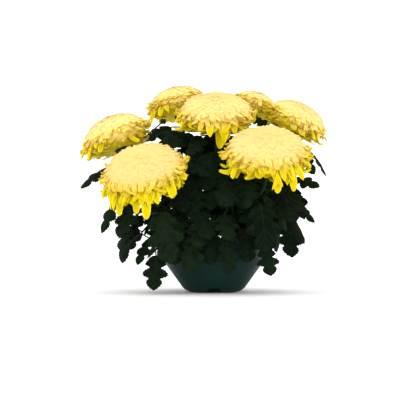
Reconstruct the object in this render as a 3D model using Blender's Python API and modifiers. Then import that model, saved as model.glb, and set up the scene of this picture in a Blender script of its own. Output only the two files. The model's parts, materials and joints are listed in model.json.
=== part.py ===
"""A pot chrysanthemum: seven large yellow heads over a ball of lobed leaves, in a round plastic pot.

Metres, +Z up. The origin is the middle of the pot's foot, on the surface that it stands on, and the
side that is seen from the front faces -Y. Positions of heads and leaves are written in millimetres.
"""

import math
import random
from collections import namedtuple

import bmesh
import bpy
from mathutils import Matrix, Vector
from mathutils.bvhtree import BVHTree

MM = 0.001
UP = Vector((0.0, 0.0, 1.0))
GOLDEN_ANGLE = math.radians(137.508)
GAP = 0.3 * MM

# Pot: a foot, a quarter-round, a sloping wall, then an upright band under a rolled rim
FOOT_RADIUS = 35 * MM
FOOT_ROUNDING = 19 * MM
WALL_SLOPE = math.radians(54)
WALL_THICKNESS = 1.8 * MM
FLOOR_THICKNESS = 2.4 * MM
BAND_RADIUS = 77.5 * MM
BAND_STEP = 1.4 * MM
BAND_FLARE = 2.5 * MM
POT_HEIGHT = 84 * MM
RIM_LIP = 2.6 * MM
POT_STEPS = 24
NOTCH_COUNT = 4
NOTCH_WIDTH = 26 * MM
NOTCH_ROOF_WIDTH = 14 * MM
NOTCH_HEIGHT = 7 * MM
NOTCH_START = 23 * MM
DRAIN_RADIUS = 3.5 * MM
DRAIN_FROM_AXIS = 35 * MM
DRAIN_SIDES = 6

# Soil
SOIL_HEIGHT = 72 * MM

# Stems
STEM_RADIUS = 2.9 * MM
STEM_TOP_SHARE = 0.8
STEM_RING = 27 * MM
HOLE_DEPTH = 16 * MM
HOLE_CLEARANCE = 0.6 * MM
HOLE_SIDES = 6
SHOOT_RADIUS = 1.9 * MM
CUP_RADIUS = 11 * MM
CUP_DEPTH = 11 * MM
BUD_RADIUS = 4.6 * MM
BUD_STALK = 22 * MM

# Flower heads, as shares of each head's radius
DOME_RISE = 0.66
UNDERSIDE_DEPTH = 1.0
CORE_SHARE = 0.76
CORE_FLOOR = 0.30
CORE_SIDES = 8
CORE_RINGS = 5
LOWEST_PETAL = math.radians(120)
PETAL_ROOT = 0.64
PETAL_OVER = 0.95
PETAL_LEAD = 0.76
PETAL_WIDTH = 15 * MM
PETAL_KEEL = 1.6 * MM
STRAP_KEEL = 1.2 * MM

# Leaves
LEAF_THICKNESS = 2.2 * MM
STALK_WIDTH = 2.4 * MM
STALK_THICKNESS = 2.1 * MM
LEAF_FOLD = 0.22
LEAF_CLEARANCE = 1.6 * MM
CLEARANCE_GROWTH = 1.06
FLOOR_CLEARANCE = 3 * MM

# A head: middle of its widest ring, tilt of its axis from upright and compass direction of that tilt in
# degrees (0 is +X, -90 is towards the front), reach of its petals, number of petals, and its long straps
# as (direction round the axis in degrees, reach, drop, width) in millimetres
Bloom = namedtuple("Bloom", "name middle lean towards radius petals straps")
BLOOMS = (
    Bloom("front_left", (-105, -93, 180), 30, -112, 66, 44,
          ((-84, 60, 42, 14), (-100, 55, 34, 11), (-141, 62, 28, 12), (-128, 58, 36, 12),
           (-47, 67, 22, 15), (-22, 69, 8, 12), (178, 69, 4, 12), (-160, 66, 16, 11))),
    Bloom("front_right", (78, -98, 208), 22, -92, 66, 44,
          ((-138, 70, 20, 12), (-79, 60, 38, 13), (-55, 62, 38, 13), (168, 71, -2, 10),
           (-105, 56, 18, 14), (10, 70, 0, 11), (-25, 68, 12, 11))),
    Bloom("centre", (4, -8, 277), 14, -90, 64, 44,
          ((-86, 54, 42, 15), (-72, 52, 28, 11), (-146, 66, 12, 13), (-166, 66, 6, 11))),
    Bloom("left", (-156, 4, 246), 22, 178, 58, 40,
          ((-165, 60, 14, 11), (-140, 56, 22, 11), (-178, 62, 4, 11), (-115, 52, 20, 11))),
    Bloom("right", (136, 45, 276), 27, -12, 54, 40,
          ((-8, 57, 6, 9), (-60, 52, 16, 11), (-115, 50, 14, 11))),
    Bloom("back_left", (-58, 92, 310), 12, 150, 53, 40, ((-125, 52, 22, 11), (-150, 52, 24, 11))),
    Bloom("back_right", (72, 104, 309), 22, 20, 43, 38, ((-60, 42, 14, 9), (100, 44, 10, 9))),
)

# A side shoot: the stem that it grows from, how far up, where it ends and how high it arches
Shoot = namedtuple("Shoot", "stem share end rise")
SHOOTS = (
    Shoot("front_left", 0.16, (-95, -58, 82), 34),
    Shoot("front_left", 0.34, (-108, -72, 118), 22),
    Shoot("centre", 0.10, (-20, -96, 92), 38),
    Shoot("front_right", 0.16, (76, -70, 88), 34),
    Shoot("front_right", 0.30, (18, -90, 126), 26),
    Shoot("right", 0.16, (118, 4, 92), 36),
    Shoot("right", 0.34, (128, -28, 140), 24),
    Shoot("left", 0.16, (-118, 6, 90), 38),
    Shoot("left", 0.30, (-104, 56, 118), 26),
    Shoot("back_left", 0.14, (-60, 96, 86), 38),
    Shoot("back_right", 0.14, (52, 100, 86), 38),
    Shoot("back_right", 0.26, (102, 76, 112), 26),
)

# A small side bud: the stem that it grows from and its middle
Bud = namedtuple("Bud", "stem middle")
BUDS = (Bud("back_right", (64, 44, 292)), Bud("left", (-82, 24, 276)), Bud("right", (150, 18, 232)))

# A leaf: where its stalk leaves the stem, where the blade starts, its tip, the way its upper face looks,
# how far the blade arches and how wide it is, as shares of the blade's length
Leaf = namedtuple("Leaf", "stem root base tip face arch width")
# The leaves that give the plant its outline from the front: stem, base, tip, facing, arch, width
SHOWN_LEAVES = (
    ("front_left", (-112, -70, 92), (-141, -88, 52), (-0.70, -0.50, 0.50), 0.12, 0.62),
    ("front_left", (-98, -76, 84), (-116, -92, 44), (-0.55, -0.70, 0.40), 0.12, 0.66),
    ("front_left", (-88, -84, 58), (-92, -92, 6), (-0.25, -0.95, 0.10), 0.06, 0.84),
    ("front_left", (-80, -116, 122), (-65, -124, 46), (0.05, -1.00, 0.18), 0.08, 0.76),
    ("centre", (-26, -84, 124), (-8, -122, 82), (0.05, -0.75, 0.60), 0.16, 0.80),
    ("centre", (-32, -100, 84), (-38, -106, 32), (-0.12, -1.00, 0.10), 0.08, 0.80),
    ("front_right", (14, -92, 120), (21, -124, 80), (0.05, -0.78, 0.62), 0.16, 0.80),
    ("front_right", (18, -98, 80), (22, -106, 30), (0.05, -1.00, 0.12), 0.08, 0.72),
    ("front_right", (68, -112, 134), (76, -122, 62), (0.08, -1.00, 0.15), 0.08, 0.78),
    ("front_right", (76, -86, 70), (84, -98, 28), (0.20, -0.95, 0.15), 0.08, 0.86),
    ("right", (158, 22, 226), (182, 12, 184), (0.80, -0.35, 0.40), 0.10, 0.55),
    ("back_right", (67, 55, 285), (94, 43, 265), (0.10, -0.73, 0.67), 0.12, 0.80),
    ("front_left", (-40, -48, 200), (-8, -74, 178), (0.10, -0.60, 0.80), 0.14, 0.74),
    ("centre", (-14, -22, 242), (-44, -42, 212), (-0.30, -0.70, 0.60), 0.12, 0.72),
    ("centre", (-8, -94, 94), (-6, -97, 44), (0.00, -1.00, 0.08), 0.05, 0.90),
    ("front_right", (48, -90, 100), (48, -99, 48), (0.12, -1.00, 0.08), 0.05, 0.90),
    ("front_left", (-62, -86, 98), (-60, -97, 44), (-0.10, -1.00, 0.08), 0.05, 0.90),
    ("centre", (-5, -38, 218), (-14, -59, 156), (-0.05, -0.92, 0.38), 0.10, 0.86),
    ("centre", (20, -28, 239), (36, -49, 181), (0.25, -0.89, 0.38), 0.10, 0.84),
    ("front_left", (-56, -60, 172), (-46, -90, 122), (0.00, -0.92, 0.40), 0.10, 0.84),
    ("front_right", (52, -70, 180), (40, -98, 128), (-0.05, -0.92, 0.40), 0.10, 0.84),
    ("left", (-82, -6, 222), (-80, -30, 166), (-0.20, -0.88, 0.42), 0.10, 0.84),
    ("centre", (19, -30, 210), (7, -56, 159), (0.05, -0.92, 0.39), 0.10, 0.86),
    ("centre", (-30, -29, 202), (-35, -58, 144), (-0.12, -0.90, 0.43), 0.10, 0.86),
    ("front_right", (28, -60, 171), (11, -91, 129), (-0.05, -0.92, 0.39), 0.10, 0.86),
    ("left", (-76, -20, 242), (-69, -42, 189), (-0.05, -0.87, 0.49), 0.10, 0.84),
    ("left", (-131, -13, 204), (-148, -45, 156), (-0.30, -0.81, 0.51), 0.10, 0.74),
    ("front_right", (107, -62, 152), (116, -97, 107), (0.20, -0.90, 0.39), 0.10, 0.84),
    ("right", (110, 1, 228), (102, -31, 179), (0.10, -0.91, 0.40), 0.10, 0.84),
    ("front_right", (56, -45, 196), (53, -73, 154), (-0.01, -0.98, 0.21), 0.10, 0.88),
    ("centre", (-29, -58, 160), (-38, -84, 115), (-0.10, -0.92, 0.38), 0.10, 0.88),
    ("centre", (0, -40, 174), (-8, -70, 127), (-0.10, -0.92, 0.38), 0.10, 0.88),
    ("left", (-78, 15, 258), (-45, -4, 231), (-0.09, -0.77, 0.63), 0.10, 0.80),
    ("left", (-108, 2, 237), (-124, -24, 197), (-0.12, -0.76, 0.64), 0.10, 0.80),
    ("right", (98, 9, 252), (85, -22, 214), (0.05, -0.85, 0.52), 0.10, 0.84),
    ("front_right", (76, -41, 191), (75, -57, 148), (0.04, -0.95, 0.31), 0.10, 0.84),
    ("left", (-165, -10, 198), (-211, -20, 163), (-0.25, -0.45, 0.86), 0.14, 0.66),
    ("left", (-150, -34, 148), (-175, -42, 92), (-0.71, -0.61, 0.35), 0.10, 0.66),
    ("right", (112, -34, 108), (140, -44, 76), (0.45, -0.74, 0.50), 0.14, 0.74),
    ("right", (122, -50, 138), (154, -60, 108), (0.50, -0.60, 0.62), 0.14, 0.70),
    ("right", (120, -54, 176), (160, -76, 162), (0.10, -0.75, 0.65), 0.14, 0.66),
    ("centre", (-22, 8, 250), (-40, -4, 214), (-0.10, -0.91, 0.40), 0.10, 0.84),
    ("back_left", (-50, 58, 262), (-84, 40, 232), (-0.20, -0.87, 0.46), 0.10, 0.80),
    ("right", (107, -46, 160), (135, -65, 125), (0.15, -0.91, 0.39), 0.12, 0.80),
    ("right", (101, -24, 133), (119, -50, 89), (0.29, -0.87, 0.40), 0.12, 0.84),
    ("centre", (8, 14, 244), (16, 8, 202), (0.05, -0.93, 0.35), 0.10, 0.86),
    ("back_right", (30, 60, 256), (38, 44, 212), (0.05, -0.93, 0.35), 0.10, 0.84),
    ("right", (134, -6, 226), (160, -14, 186), (0.30, -0.80, 0.45), 0.10, 0.72),
    ("centre", (12, -26, 150), (14, -42, 104), (0.00, -0.93, 0.35), 0.10, 0.86),
    ("left", (-128, -34, 142), (-146, -56, 84), (-0.50, -0.75, 0.40), 0.10, 0.80),
    ("back_left", (-72, 70, 272), (-112, 56, 248), (-0.20, -0.75, 0.60), 0.12, 0.76),
    ("centre", (-3, 19, 254), (-9, 13, 214), (0.00, -0.95, 0.30), 0.10, 0.86),
    ("back_left", (-40, 34, 258), (-47, 26, 222), (0.00, -0.93, 0.35), 0.10, 0.80),
)

# Leaves that a rule places: spacing along the stem and the blade's length
LEAF_SPACING = 23 * MM
FIRST_LEAF = 24 * MM
BARE_NECK = 24 * MM
BLADE_LENGTH = (58 * MM, 76 * MM)
BLADE_WIDTH = (0.74, 0.90)
BLADE_ARCH = (0.10, 0.20)
STALK_LENGTH = (14 * MM, 26 * MM)
STALK_RISE = (20, 50)
HANGING_FALL = (40, 78)
SPREADING_FALL = (28, 72)
HANGING_BELOW = 118 * MM
LEAF_REACH = 150 * MM
TRIES = 40
SEED = 7

# Half of a leaf's outline, from the stalk to the tip: across as a share of half the width, and along. The
# first three points are joined to the lower midrib point and the rest to the upper one
HALF_OUTLINE = ((0.46, 0.05), (0.78, 0.24), (0.43, 0.35), (0.98, 0.52), (0.45, 0.67), (0.52, 0.84))
MIDRIB = (0.35, 0.66)
LOWER_POINTS = 3


# Curves and directions

def bezier(points, share):
    """A point of the Bezier curve through the first and last of the points."""
    points = [Vector(point) for point in points]
    while len(points) > 1:
        points = [a.lerp(b, share) for a, b in zip(points, points[1:])]
    return points[0]


def heading(points, share, step=0.02):
    return (bezier(points, min(share + step, 1)) - bezier(points, max(share - step, 0))).normalized()


def compass(degrees):
    return Vector((math.cos(math.radians(degrees)), math.sin(math.radians(degrees)), 0.0))


def outward(point):
    """The level direction away from the plant's middle."""
    level = Vector((point.x, point.y, 0.0))
    return level.normalized() if level.length > MM else Vector((0.0, -1.0, 0.0))


# Materials

def plain_material(name, colour, roughness):
    material = bpy.data.materials.new(name)
    material.use_nodes = True
    shader = material.node_tree.nodes["Principled BSDF"]
    shader.inputs["Base Color"].default_value = (*colour, 1.0)
    shader.inputs["Roughness"].default_value = roughness
    return material


# Objects

def add_object(name, mesh, collection, material=None):
    obj = bpy.data.objects.new(name, mesh)
    collection.objects.link(obj)
    if material:
        mesh.materials.clear()
        mesh.materials.append(material)
    return obj


def mesh_of(name, points, faces):
    """A mesh of the given faces, with all of them turned to face out."""
    mesh = bpy.data.meshes.new(name)
    mesh.from_pydata([tuple(point) for point in points], [], faces)
    work = bmesh.new()
    work.from_mesh(mesh)
    bmesh.ops.recalc_face_normals(work, faces=work.faces)
    work.to_mesh(mesh)
    work.free()
    return mesh


def turned(name, profile, collection):
    """A turned solid from its profile (radius, height), which runs from the top down its outer side."""
    mesh = bpy.data.meshes.new(name)
    edges = [(i, i + 1) for i in range(len(profile) - 1)]
    mesh.from_pydata([(radius, 0.0, height) for radius, height in profile], edges, [])
    obj = add_object(name, mesh, collection)
    screw = obj.modifiers.new("Turn", "SCREW")
    screw.steps = screw.render_steps = POT_STEPS
    screw.use_merge_vertices = True
    screw.merge_threshold = 0.00001
    screw.use_smooth_shade = True
    return obj


def boolean(obj, other, operation):
    modifier = obj.modifiers.new(operation.title(), "BOOLEAN")
    modifier.operation = operation
    modifier.object = other


def weld(obj):
    """Joins the doubled points that a cut leaves where it runs along an edge."""
    modifier = obj.modifiers.new("Weld", "WELD")
    modifier.merge_threshold = 0.00001


def hide_helper(obj):
    obj.hide_render = True
    obj.display_type = "WIRE"


def evaluated_mesh(obj):
    bpy.context.view_layer.update()
    return bpy.data.meshes.new_from_object(obj.evaluated_get(bpy.context.evaluated_depsgraph_get()))


def keep_outer_shell(mesh):
    """Fills any hollow that a union sealed and drops any loose scrap, by keeping the largest shell alone."""
    work = bmesh.new()
    work.from_mesh(mesh)
    unseen = set(work.faces)
    shells = []
    while unseen:
        shell = [unseen.pop()]
        for face in shell:
            for neighbour in {other for edge in face.edges for other in edge.link_faces} & unseen:
                unseen.discard(neighbour)
                shell.append(neighbour)
        shells.append(shell)
    shells.sort(key=len, reverse=True)
    bmesh.ops.delete(work, geom=[face for shell in shells[1:] for face in shell], context="FACES")
    work.to_mesh(mesh)
    work.free()


def fuse(body, pieces):
    """Joins the pieces to the body by one Boolean union, applies it and removes the pieces."""
    helpers = bpy.data.collections.new("pieces of " + body.name)
    bpy.context.scene.collection.children.link(helpers)
    for index, mesh in enumerate(pieces):
        piece = add_object(f"piece {index}", mesh, helpers)
        piece.matrix_world = body.matrix_world
    union = body.modifiers.new("Join", "BOOLEAN")
    union.operation = "UNION"
    union.operand_type = "COLLECTION"
    union.collection = helpers
    joined = evaluated_mesh(body)
    keep_outer_shell(joined)
    body.modifiers.clear()
    materials = list(body.data.materials)
    body.data = joined
    joined.materials.clear()
    for material in materials:
        joined.materials.append(material)
    for piece in list(helpers.objects):
        bpy.data.objects.remove(piece)
    bpy.data.collections.remove(helpers)


def tube_mesh(name, points, radii, resolution):
    """A closed tube along the points, made as a bevelled curve and turned into a mesh."""
    curve = bpy.data.curves.new(name, "CURVE")
    curve.dimensions = "3D"
    curve.bevel_depth = 1.0
    curve.bevel_resolution = resolution
    curve.use_fill_caps = True
    spline = curve.splines.new("POLY")
    spline.points.add(len(points) - 1)
    for place, point, radius in zip(spline.points, points, radii):
        place.co = (*point, 1.0)
        place.radius = radius
    obj = bpy.data.objects.new(name, curve)
    bpy.context.scene.collection.objects.link(obj)
    mesh = evaluated_mesh(obj)
    bpy.data.objects.remove(obj)
    work = bmesh.new()
    work.from_mesh(mesh)
    bmesh.ops.remove_doubles(work, verts=work.verts, dist=0.00001)
    bmesh.ops.recalc_face_normals(work, faces=work.faces)
    work.to_mesh(mesh)
    work.free()
    return mesh


# Pot and soil

def rounded_foot(radius, rounding, height, steps=3):
    """Profile points of a flat foot and its rounding, from the slope's start down to the axis."""
    points = []
    for step in range(steps + 1):
        turn = WALL_SLOPE * (1 - step / steps)
        points.append((radius + rounding * math.sin(turn), height + rounding * (1 - math.cos(turn))))
    return points + [(0.0, height)]


def slope_height(profile_start, radius):
    """Height at which the sloping wall reaches a radius."""
    start_radius, start_height = profile_start
    return start_height + (radius - start_radius) * math.tan(WALL_SLOPE)


def pot_outside():
    foot = rounded_foot(FOOT_RADIUS, FOOT_ROUNDING, 0.0)
    band_height = slope_height(foot[0], BAND_RADIUS)
    rim = BAND_RADIUS + BAND_STEP + BAND_FLARE
    top = [
        (0.0, POT_HEIGHT),
        (rim + RIM_LIP * 0.5, POT_HEIGHT),
        (rim + RIM_LIP, POT_HEIGHT - RIM_LIP * 0.5),
        (rim + RIM_LIP, POT_HEIGHT - RIM_LIP * 1.4),
        (rim, POT_HEIGHT - RIM_LIP * 2.0),
        (BAND_RADIUS + BAND_STEP, band_height + BAND_STEP),
        (BAND_RADIUS, band_height),
    ]
    return top + foot


def pot_inside(shrink, top_height):
    """Profile of the space inside the pot, smaller all round by shrink, up to a height."""
    inner_radius = BAND_RADIUS + BAND_STEP * 0.5 - WALL_THICKNESS - shrink
    foot = rounded_foot(FOOT_RADIUS, FOOT_ROUNDING - FLOOR_THICKNESS - shrink, FLOOR_THICKNESS + shrink, 2)
    band_height = slope_height(foot[0], inner_radius)
    rise = (top_height - band_height) / (POT_HEIGHT - band_height)
    return [(inner_radius + BAND_FLARE * rise, top_height), (inner_radius, band_height)] + foot


def notch_prisms(name, grow, collection):
    """The drainage notches as wedge-sided prisms that point outwards, larger all round by grow."""
    mesh = bpy.data.meshes.new(name)
    work = bmesh.new()
    reach = FOOT_RADIUS + 2 * FOOT_ROUNDING
    below = -10 * MM
    side_slope = (NOTCH_WIDTH - NOTCH_ROOF_WIDTH) / 2 / NOTCH_HEIGHT
    roof = NOTCH_HEIGHT + grow
    half_roof = NOTCH_ROOF_WIDTH / 2 + grow
    half_below = half_roof + side_slope * (roof - below)
    for index in range(NOTCH_COUNT):
        start = NOTCH_START - grow
        corners = [(-half_below, below), (half_below, below), (half_roof, roof), (-half_roof, roof)]
        turn = Matrix.Rotation(math.tau * index / NOTCH_COUNT - math.pi / 2, 4, "Z")
        near = [work.verts.new(turn @ Vector((start, across, height))) for across, height in corners]
        far = [work.verts.new(turn @ Vector((reach, across, height))) for across, height in corners]
        work.faces.new(near)
        work.faces.new(far)
        for i in range(4):
            work.faces.new((near[i], near[(i + 1) % 4], far[(i + 1) % 4], far[i]))
    bmesh.ops.recalc_face_normals(work, faces=work.faces)
    work.to_mesh(mesh)
    work.free()
    return add_object(name, mesh, collection)


def upright_cylinders(name, spots, radius, low, high, sides, collection):
    mesh = bpy.data.meshes.new(name)
    work = bmesh.new()
    for spot in spots:
        place = Matrix.Translation((spot.x, spot.y, (low + high) / 2))
        bmesh.ops.create_cone(work, cap_ends=True, segments=sides, radius1=radius, radius2=radius,
                              depth=high - low, matrix=place)
    work.to_mesh(mesh)
    work.free()
    return add_object(name, mesh, collection)


def make_pot(collection, cutters, material):
    pot = turned("pot", pot_outside(), collection)
    pot.data.materials.append(material)
    above = POT_HEIGHT + 5 * MM
    space = turned("space in pot", [(0.0, above)] + pot_inside(0.0, above), cutters)
    hide_helper(space)
    raised = notch_prisms("notches from inside", WALL_THICKNESS, cutters)
    hide_helper(raised)
    notches = notch_prisms("notches", 0.0, cutters)
    hide_helper(notches)
    spots = [compass(360 * i / NOTCH_COUNT - 90) * DRAIN_FROM_AXIS for i in range(NOTCH_COUNT)]
    drains = upright_cylinders("drains", spots, DRAIN_RADIUS, 2 * MM, 12 * MM, DRAIN_SIDES, cutters)
    hide_helper(drains)
    boolean(space, raised, "DIFFERENCE")
    boolean(pot, notches, "DIFFERENCE")
    boolean(pot, space, "DIFFERENCE")
    boolean(pot, drains, "DIFFERENCE")
    weld(pot)
    return pot


def stem_foot(bloom):
    """Where a stem enters the soil."""
    middle = Vector(bloom.middle) * MM
    if bloom.name == "centre":
        return Vector((0.0, -3 * MM, SOIL_HEIGHT))
    foot = outward(middle) * STEM_RING
    return Vector((foot.x, foot.y, SOIL_HEIGHT))


def make_soil(collection, cutters, material):
    soil = turned("soil", [(0.0, SOIL_HEIGHT)] + pot_inside(GAP, SOIL_HEIGHT), collection)
    soil.data.materials.append(material)
    raised = notch_prisms("notches from the soil", WALL_THICKNESS + GAP, cutters)
    hide_helper(raised)
    feet = [stem_foot(bloom) for bloom in BLOOMS]
    low = SOIL_HEIGHT - HOLE_DEPTH
    holes = upright_cylinders("stem holes", feet, STEM_RADIUS + HOLE_CLEARANCE, low,
                              SOIL_HEIGHT + 5 * MM, HOLE_SIDES, cutters)
    hide_helper(holes)
    boolean(soil, raised, "DIFFERENCE")
    boolean(soil, holes, "DIFFERENCE")
    weld(soil)
    return soil


# Flower heads

def head_frame(bloom):
    """The head's frame: origin in the middle of its widest ring, Z along its axis, X near the plant's X."""
    lean = math.radians(bloom.lean)
    axis = UP * math.cos(lean) + compass(bloom.towards) * math.sin(lean)
    across = (Vector((1.0, 0.0, 0.0)) - axis * axis.x).normalized()
    frame = Matrix((across, axis.cross(across), axis)).transposed().to_4x4()
    frame.translation = Vector(bloom.middle) * MM
    return frame


def head_point(radius, polar, turn, share):
    """A point in a head's frame, at an angle from its axis, on its dome scaled by share."""
    depth = DOME_RISE if polar < math.pi / 2 else UNDERSIDE_DEPTH
    level = radius * share * math.sin(polar)
    return Vector((level * math.cos(turn), level * math.sin(turn), radius * share * depth * math.cos(polar)))


def petal_line(radius, polar, turn):
    """A petal's middle line: out of the core, then over towards the head's underside."""
    root = head_point(radius, polar * PETAL_LEAD, turn, PETAL_ROOT)
    over = head_point(radius, polar * (PETAL_LEAD + 0.08), turn, PETAL_OVER)
    return root, over, head_point(radius, polar, turn, 1.0)


def strap_line(bloom, strap):
    """A long outer petal's line: out from the core, then down under its own weight."""
    degrees, reach, drop, _ = strap
    turn = math.radians(degrees)
    radial = Vector((math.cos(turn), math.sin(turn), 0.0))
    down = head_frame(bloom).to_3x3().inverted() @ -UP
    radius = bloom.radius * MM
    root = head_point(radius, math.radians(84), turn, PETAL_ROOT)
    over = radial * reach * 0.90 * MM + down * drop * 0.05 * MM
    end = radial * reach * MM + down * drop * MM
    return root, over, end


def blade_mesh(name, line, side, width, keel, stations):
    """A petal lofted along its line: a flat upper face with a keel below, from a point sunk in the core to
    a blunt point at its tip."""
    points = [bezier(line, 0.0)]
    for along, share in stations:
        spot = bezier(line, along)
        upper = heading(line, along).cross(side).normalized()
        points += [spot - side * width * share / 2, spot + side * width * share / 2, spot - upper * keel]
    points.append(bezier(line, 1.0))
    root, tip = 0, len(points) - 1
    faces = [(root, 1, 2), (root, 2, 3), (root, 3, 1)]
    for ring in range(1, tip - 3, 3):
        for i in range(3):
            a, b = ring + i, ring + (i + 1) % 3
            faces += [(a, b, b + 3), (a, b + 3, a + 3)]
    last = tip - 3
    faces += [(last, last + 1, tip), (last + 1, last + 2, tip), (last + 2, last, tip)]
    return mesh_of(name, points, faces)


def petal_meshes(bloom, chance):
    """The head's petals, each turned from the last by the golden angle, then its long straps."""
    meshes = []
    radius = bloom.radius * MM
    for index in range(bloom.petals):
        spread = (index + 0.5) / bloom.petals
        polar = math.acos(1 - spread * (1 - math.cos(LOWEST_PETAL)))
        turn = index * GOLDEN_ANGLE + chance.uniform(-0.06, 0.06)
        side = Vector((-math.sin(turn), math.cos(turn), 0.0))
        width = PETAL_WIDTH * (0.72 + 0.28 * math.sin(min(polar, math.pi / 2))) * radius / (56 * MM)
        line = petal_line(radius * chance.uniform(0.965, 1.0), polar, turn)
        stations = ((0.56, 1.0), (0.86, 0.80))
        meshes.append(blade_mesh("petal", line, side, width, PETAL_KEEL, stations))
    for strap in bloom.straps:
        turn = math.radians(strap[0])
        side = Vector((-math.sin(turn), math.cos(turn), 0.0))
        stations = ((0.42, 0.9), (0.68, 1.0), (0.9, 0.82))
        line = strap_line(bloom, strap)
        meshes.append(blade_mesh("strap", line, side, strap[3] * MM, STRAP_KEEL, stations))
    return meshes


def core_mesh(bloom):
    """The dense middle of a head: a low dome with a flat underside where it sits on its cup."""
    mesh = bpy.data.meshes.new("core")
    work = bmesh.new()
    bmesh.ops.create_uvsphere(work, u_segments=CORE_SIDES, v_segments=CORE_RINGS, radius=1.0)
    radius = bloom.radius * MM * CORE_SHARE
    floor = -bloom.radius * MM * CORE_FLOOR
    for vertex in work.verts:
        x, y, z = vertex.co
        depth = DOME_RISE if z > 0 else UNDERSIDE_DEPTH
        vertex.co = Vector((x * radius, y * radius, max(z * radius * depth, floor)))
    bmesh.ops.remove_doubles(work, verts=work.verts, dist=0.00001)
    work.to_mesh(mesh)
    work.free()
    return mesh


def make_bloom(bloom, collection, material):
    head = add_object("bloom_" + bloom.name, core_mesh(bloom), collection, material)
    head.matrix_world = head_frame(bloom)
    fuse(head, petal_meshes(bloom, random.Random(SEED + bloom.radius)))
    return head


# Stems, side shoots and cups

def cup_place(bloom):
    """Centre of the cup's top, just under the head, and the head's axis."""
    frame = head_frame(bloom)
    axis = frame.to_3x3() @ UP
    return frame.translation - axis * (bloom.radius * MM * CORE_FLOOR + GAP), axis


def stem_line(bloom):
    """Control points of a stem from the soil to its head's cup: upright at first, then out and up."""
    foot = stem_foot(bloom)
    top, axis = cup_place(bloom)
    end = top - axis * CUP_DEPTH * 0.8
    reach = (end - foot).length
    low = foot + UP * reach * 0.42 + outward(end) * reach * 0.04
    return foot, low, end - axis * reach * 0.36, end


def shoot_line(shoot):
    bloom = next(bloom for bloom in BLOOMS if bloom.name == shoot.stem)
    start = bezier(stem_line(bloom), shoot.share)
    end = Vector(shoot.end) * MM
    over = start.lerp(end, 0.55)
    over.z = max(start.z, end.z) + shoot.rise * MM
    return start, over, end


def stem_meshes(bloom):
    """The stem as a tapering tube with its lower end in the soil, its cup and its side shoots."""
    line = stem_line(bloom)
    shares = [step / 7 for step in range(8)]
    points = [line[0] - UP * (HOLE_DEPTH - GAP)] + [bezier(line, share) for share in shares]
    radii = [STEM_RADIUS] + [STEM_RADIUS * (1 - (1 - STEM_TOP_SHARE) * share) for share in shares]
    stem = tube_mesh("stem", points, radii, 1)
    shoots = []
    for shoot in SHOOTS:
        if shoot.stem == bloom.name:
            path = shoot_line(shoot)
            steps = [step / 4 for step in range(5)]
            radii = [SHOOT_RADIUS * (1 - 0.35 * share) for share in steps]
            shoots.append(tube_mesh("shoot", [bezier(path, share) for share in steps], radii, 0))
    return stem, shoots


def bud_meshes(bud):
    """A round bud and its stalk, which leaves the stem below it."""
    bloom = next(bloom for bloom in BLOOMS if bloom.name == bud.stem)
    middle = Vector(bud.middle) * MM
    mesh = bpy.data.meshes.new("bud")
    work = bmesh.new()
    bmesh.ops.create_icosphere(work, subdivisions=1, radius=BUD_RADIUS, matrix=Matrix.Translation(middle))
    work.to_mesh(mesh)
    work.free()
    root = nearest_on_lines(bloom, middle - UP * BUD_STALK)
    path = [root, root.lerp(middle, 0.6) - UP * 2 * MM, middle]
    stalk = tube_mesh("bud stalk", path, [SHOOT_RADIUS * 0.6] * 3, 0)
    return [stalk, mesh]


def cup_mesh(bloom):
    top, axis = cup_place(bloom)
    mesh = bpy.data.meshes.new("cup")
    work = bmesh.new()
    place = Matrix.Translation(top - axis * CUP_DEPTH / 2) @ axis.to_track_quat("Z", "X").to_matrix().to_4x4()
    bmesh.ops.create_cone(work, cap_ends=True, segments=8, radius1=STEM_RADIUS * 1.3, radius2=CUP_RADIUS,
                          depth=CUP_DEPTH, matrix=place)
    work.to_mesh(mesh)
    work.free()
    return mesh


# Leaves

def leaf_frame(leaf):
    """The leaf's across direction and the control points of its blade's middle line."""
    along = leaf.tip - leaf.base
    face = (leaf.face - along * leaf.face.dot(along) / along.length_squared).normalized()
    middle = leaf.base.lerp(leaf.tip, 0.5) + face * leaf.arch * along.length
    return along.cross(face).normalized(), (leaf.base, middle, leaf.tip)


def leaf_point(leaf, side, line, across, along):
    """A point of the blade's upper face and the way that face looks there."""
    spot = bezier(line, along)
    upper = side.cross(heading(line, along)).normalized()
    reach = across * leaf.width * (leaf.tip - leaf.base).length / 2
    return spot + side * reach - upper * abs(reach) * LEAF_FOLD, upper


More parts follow.
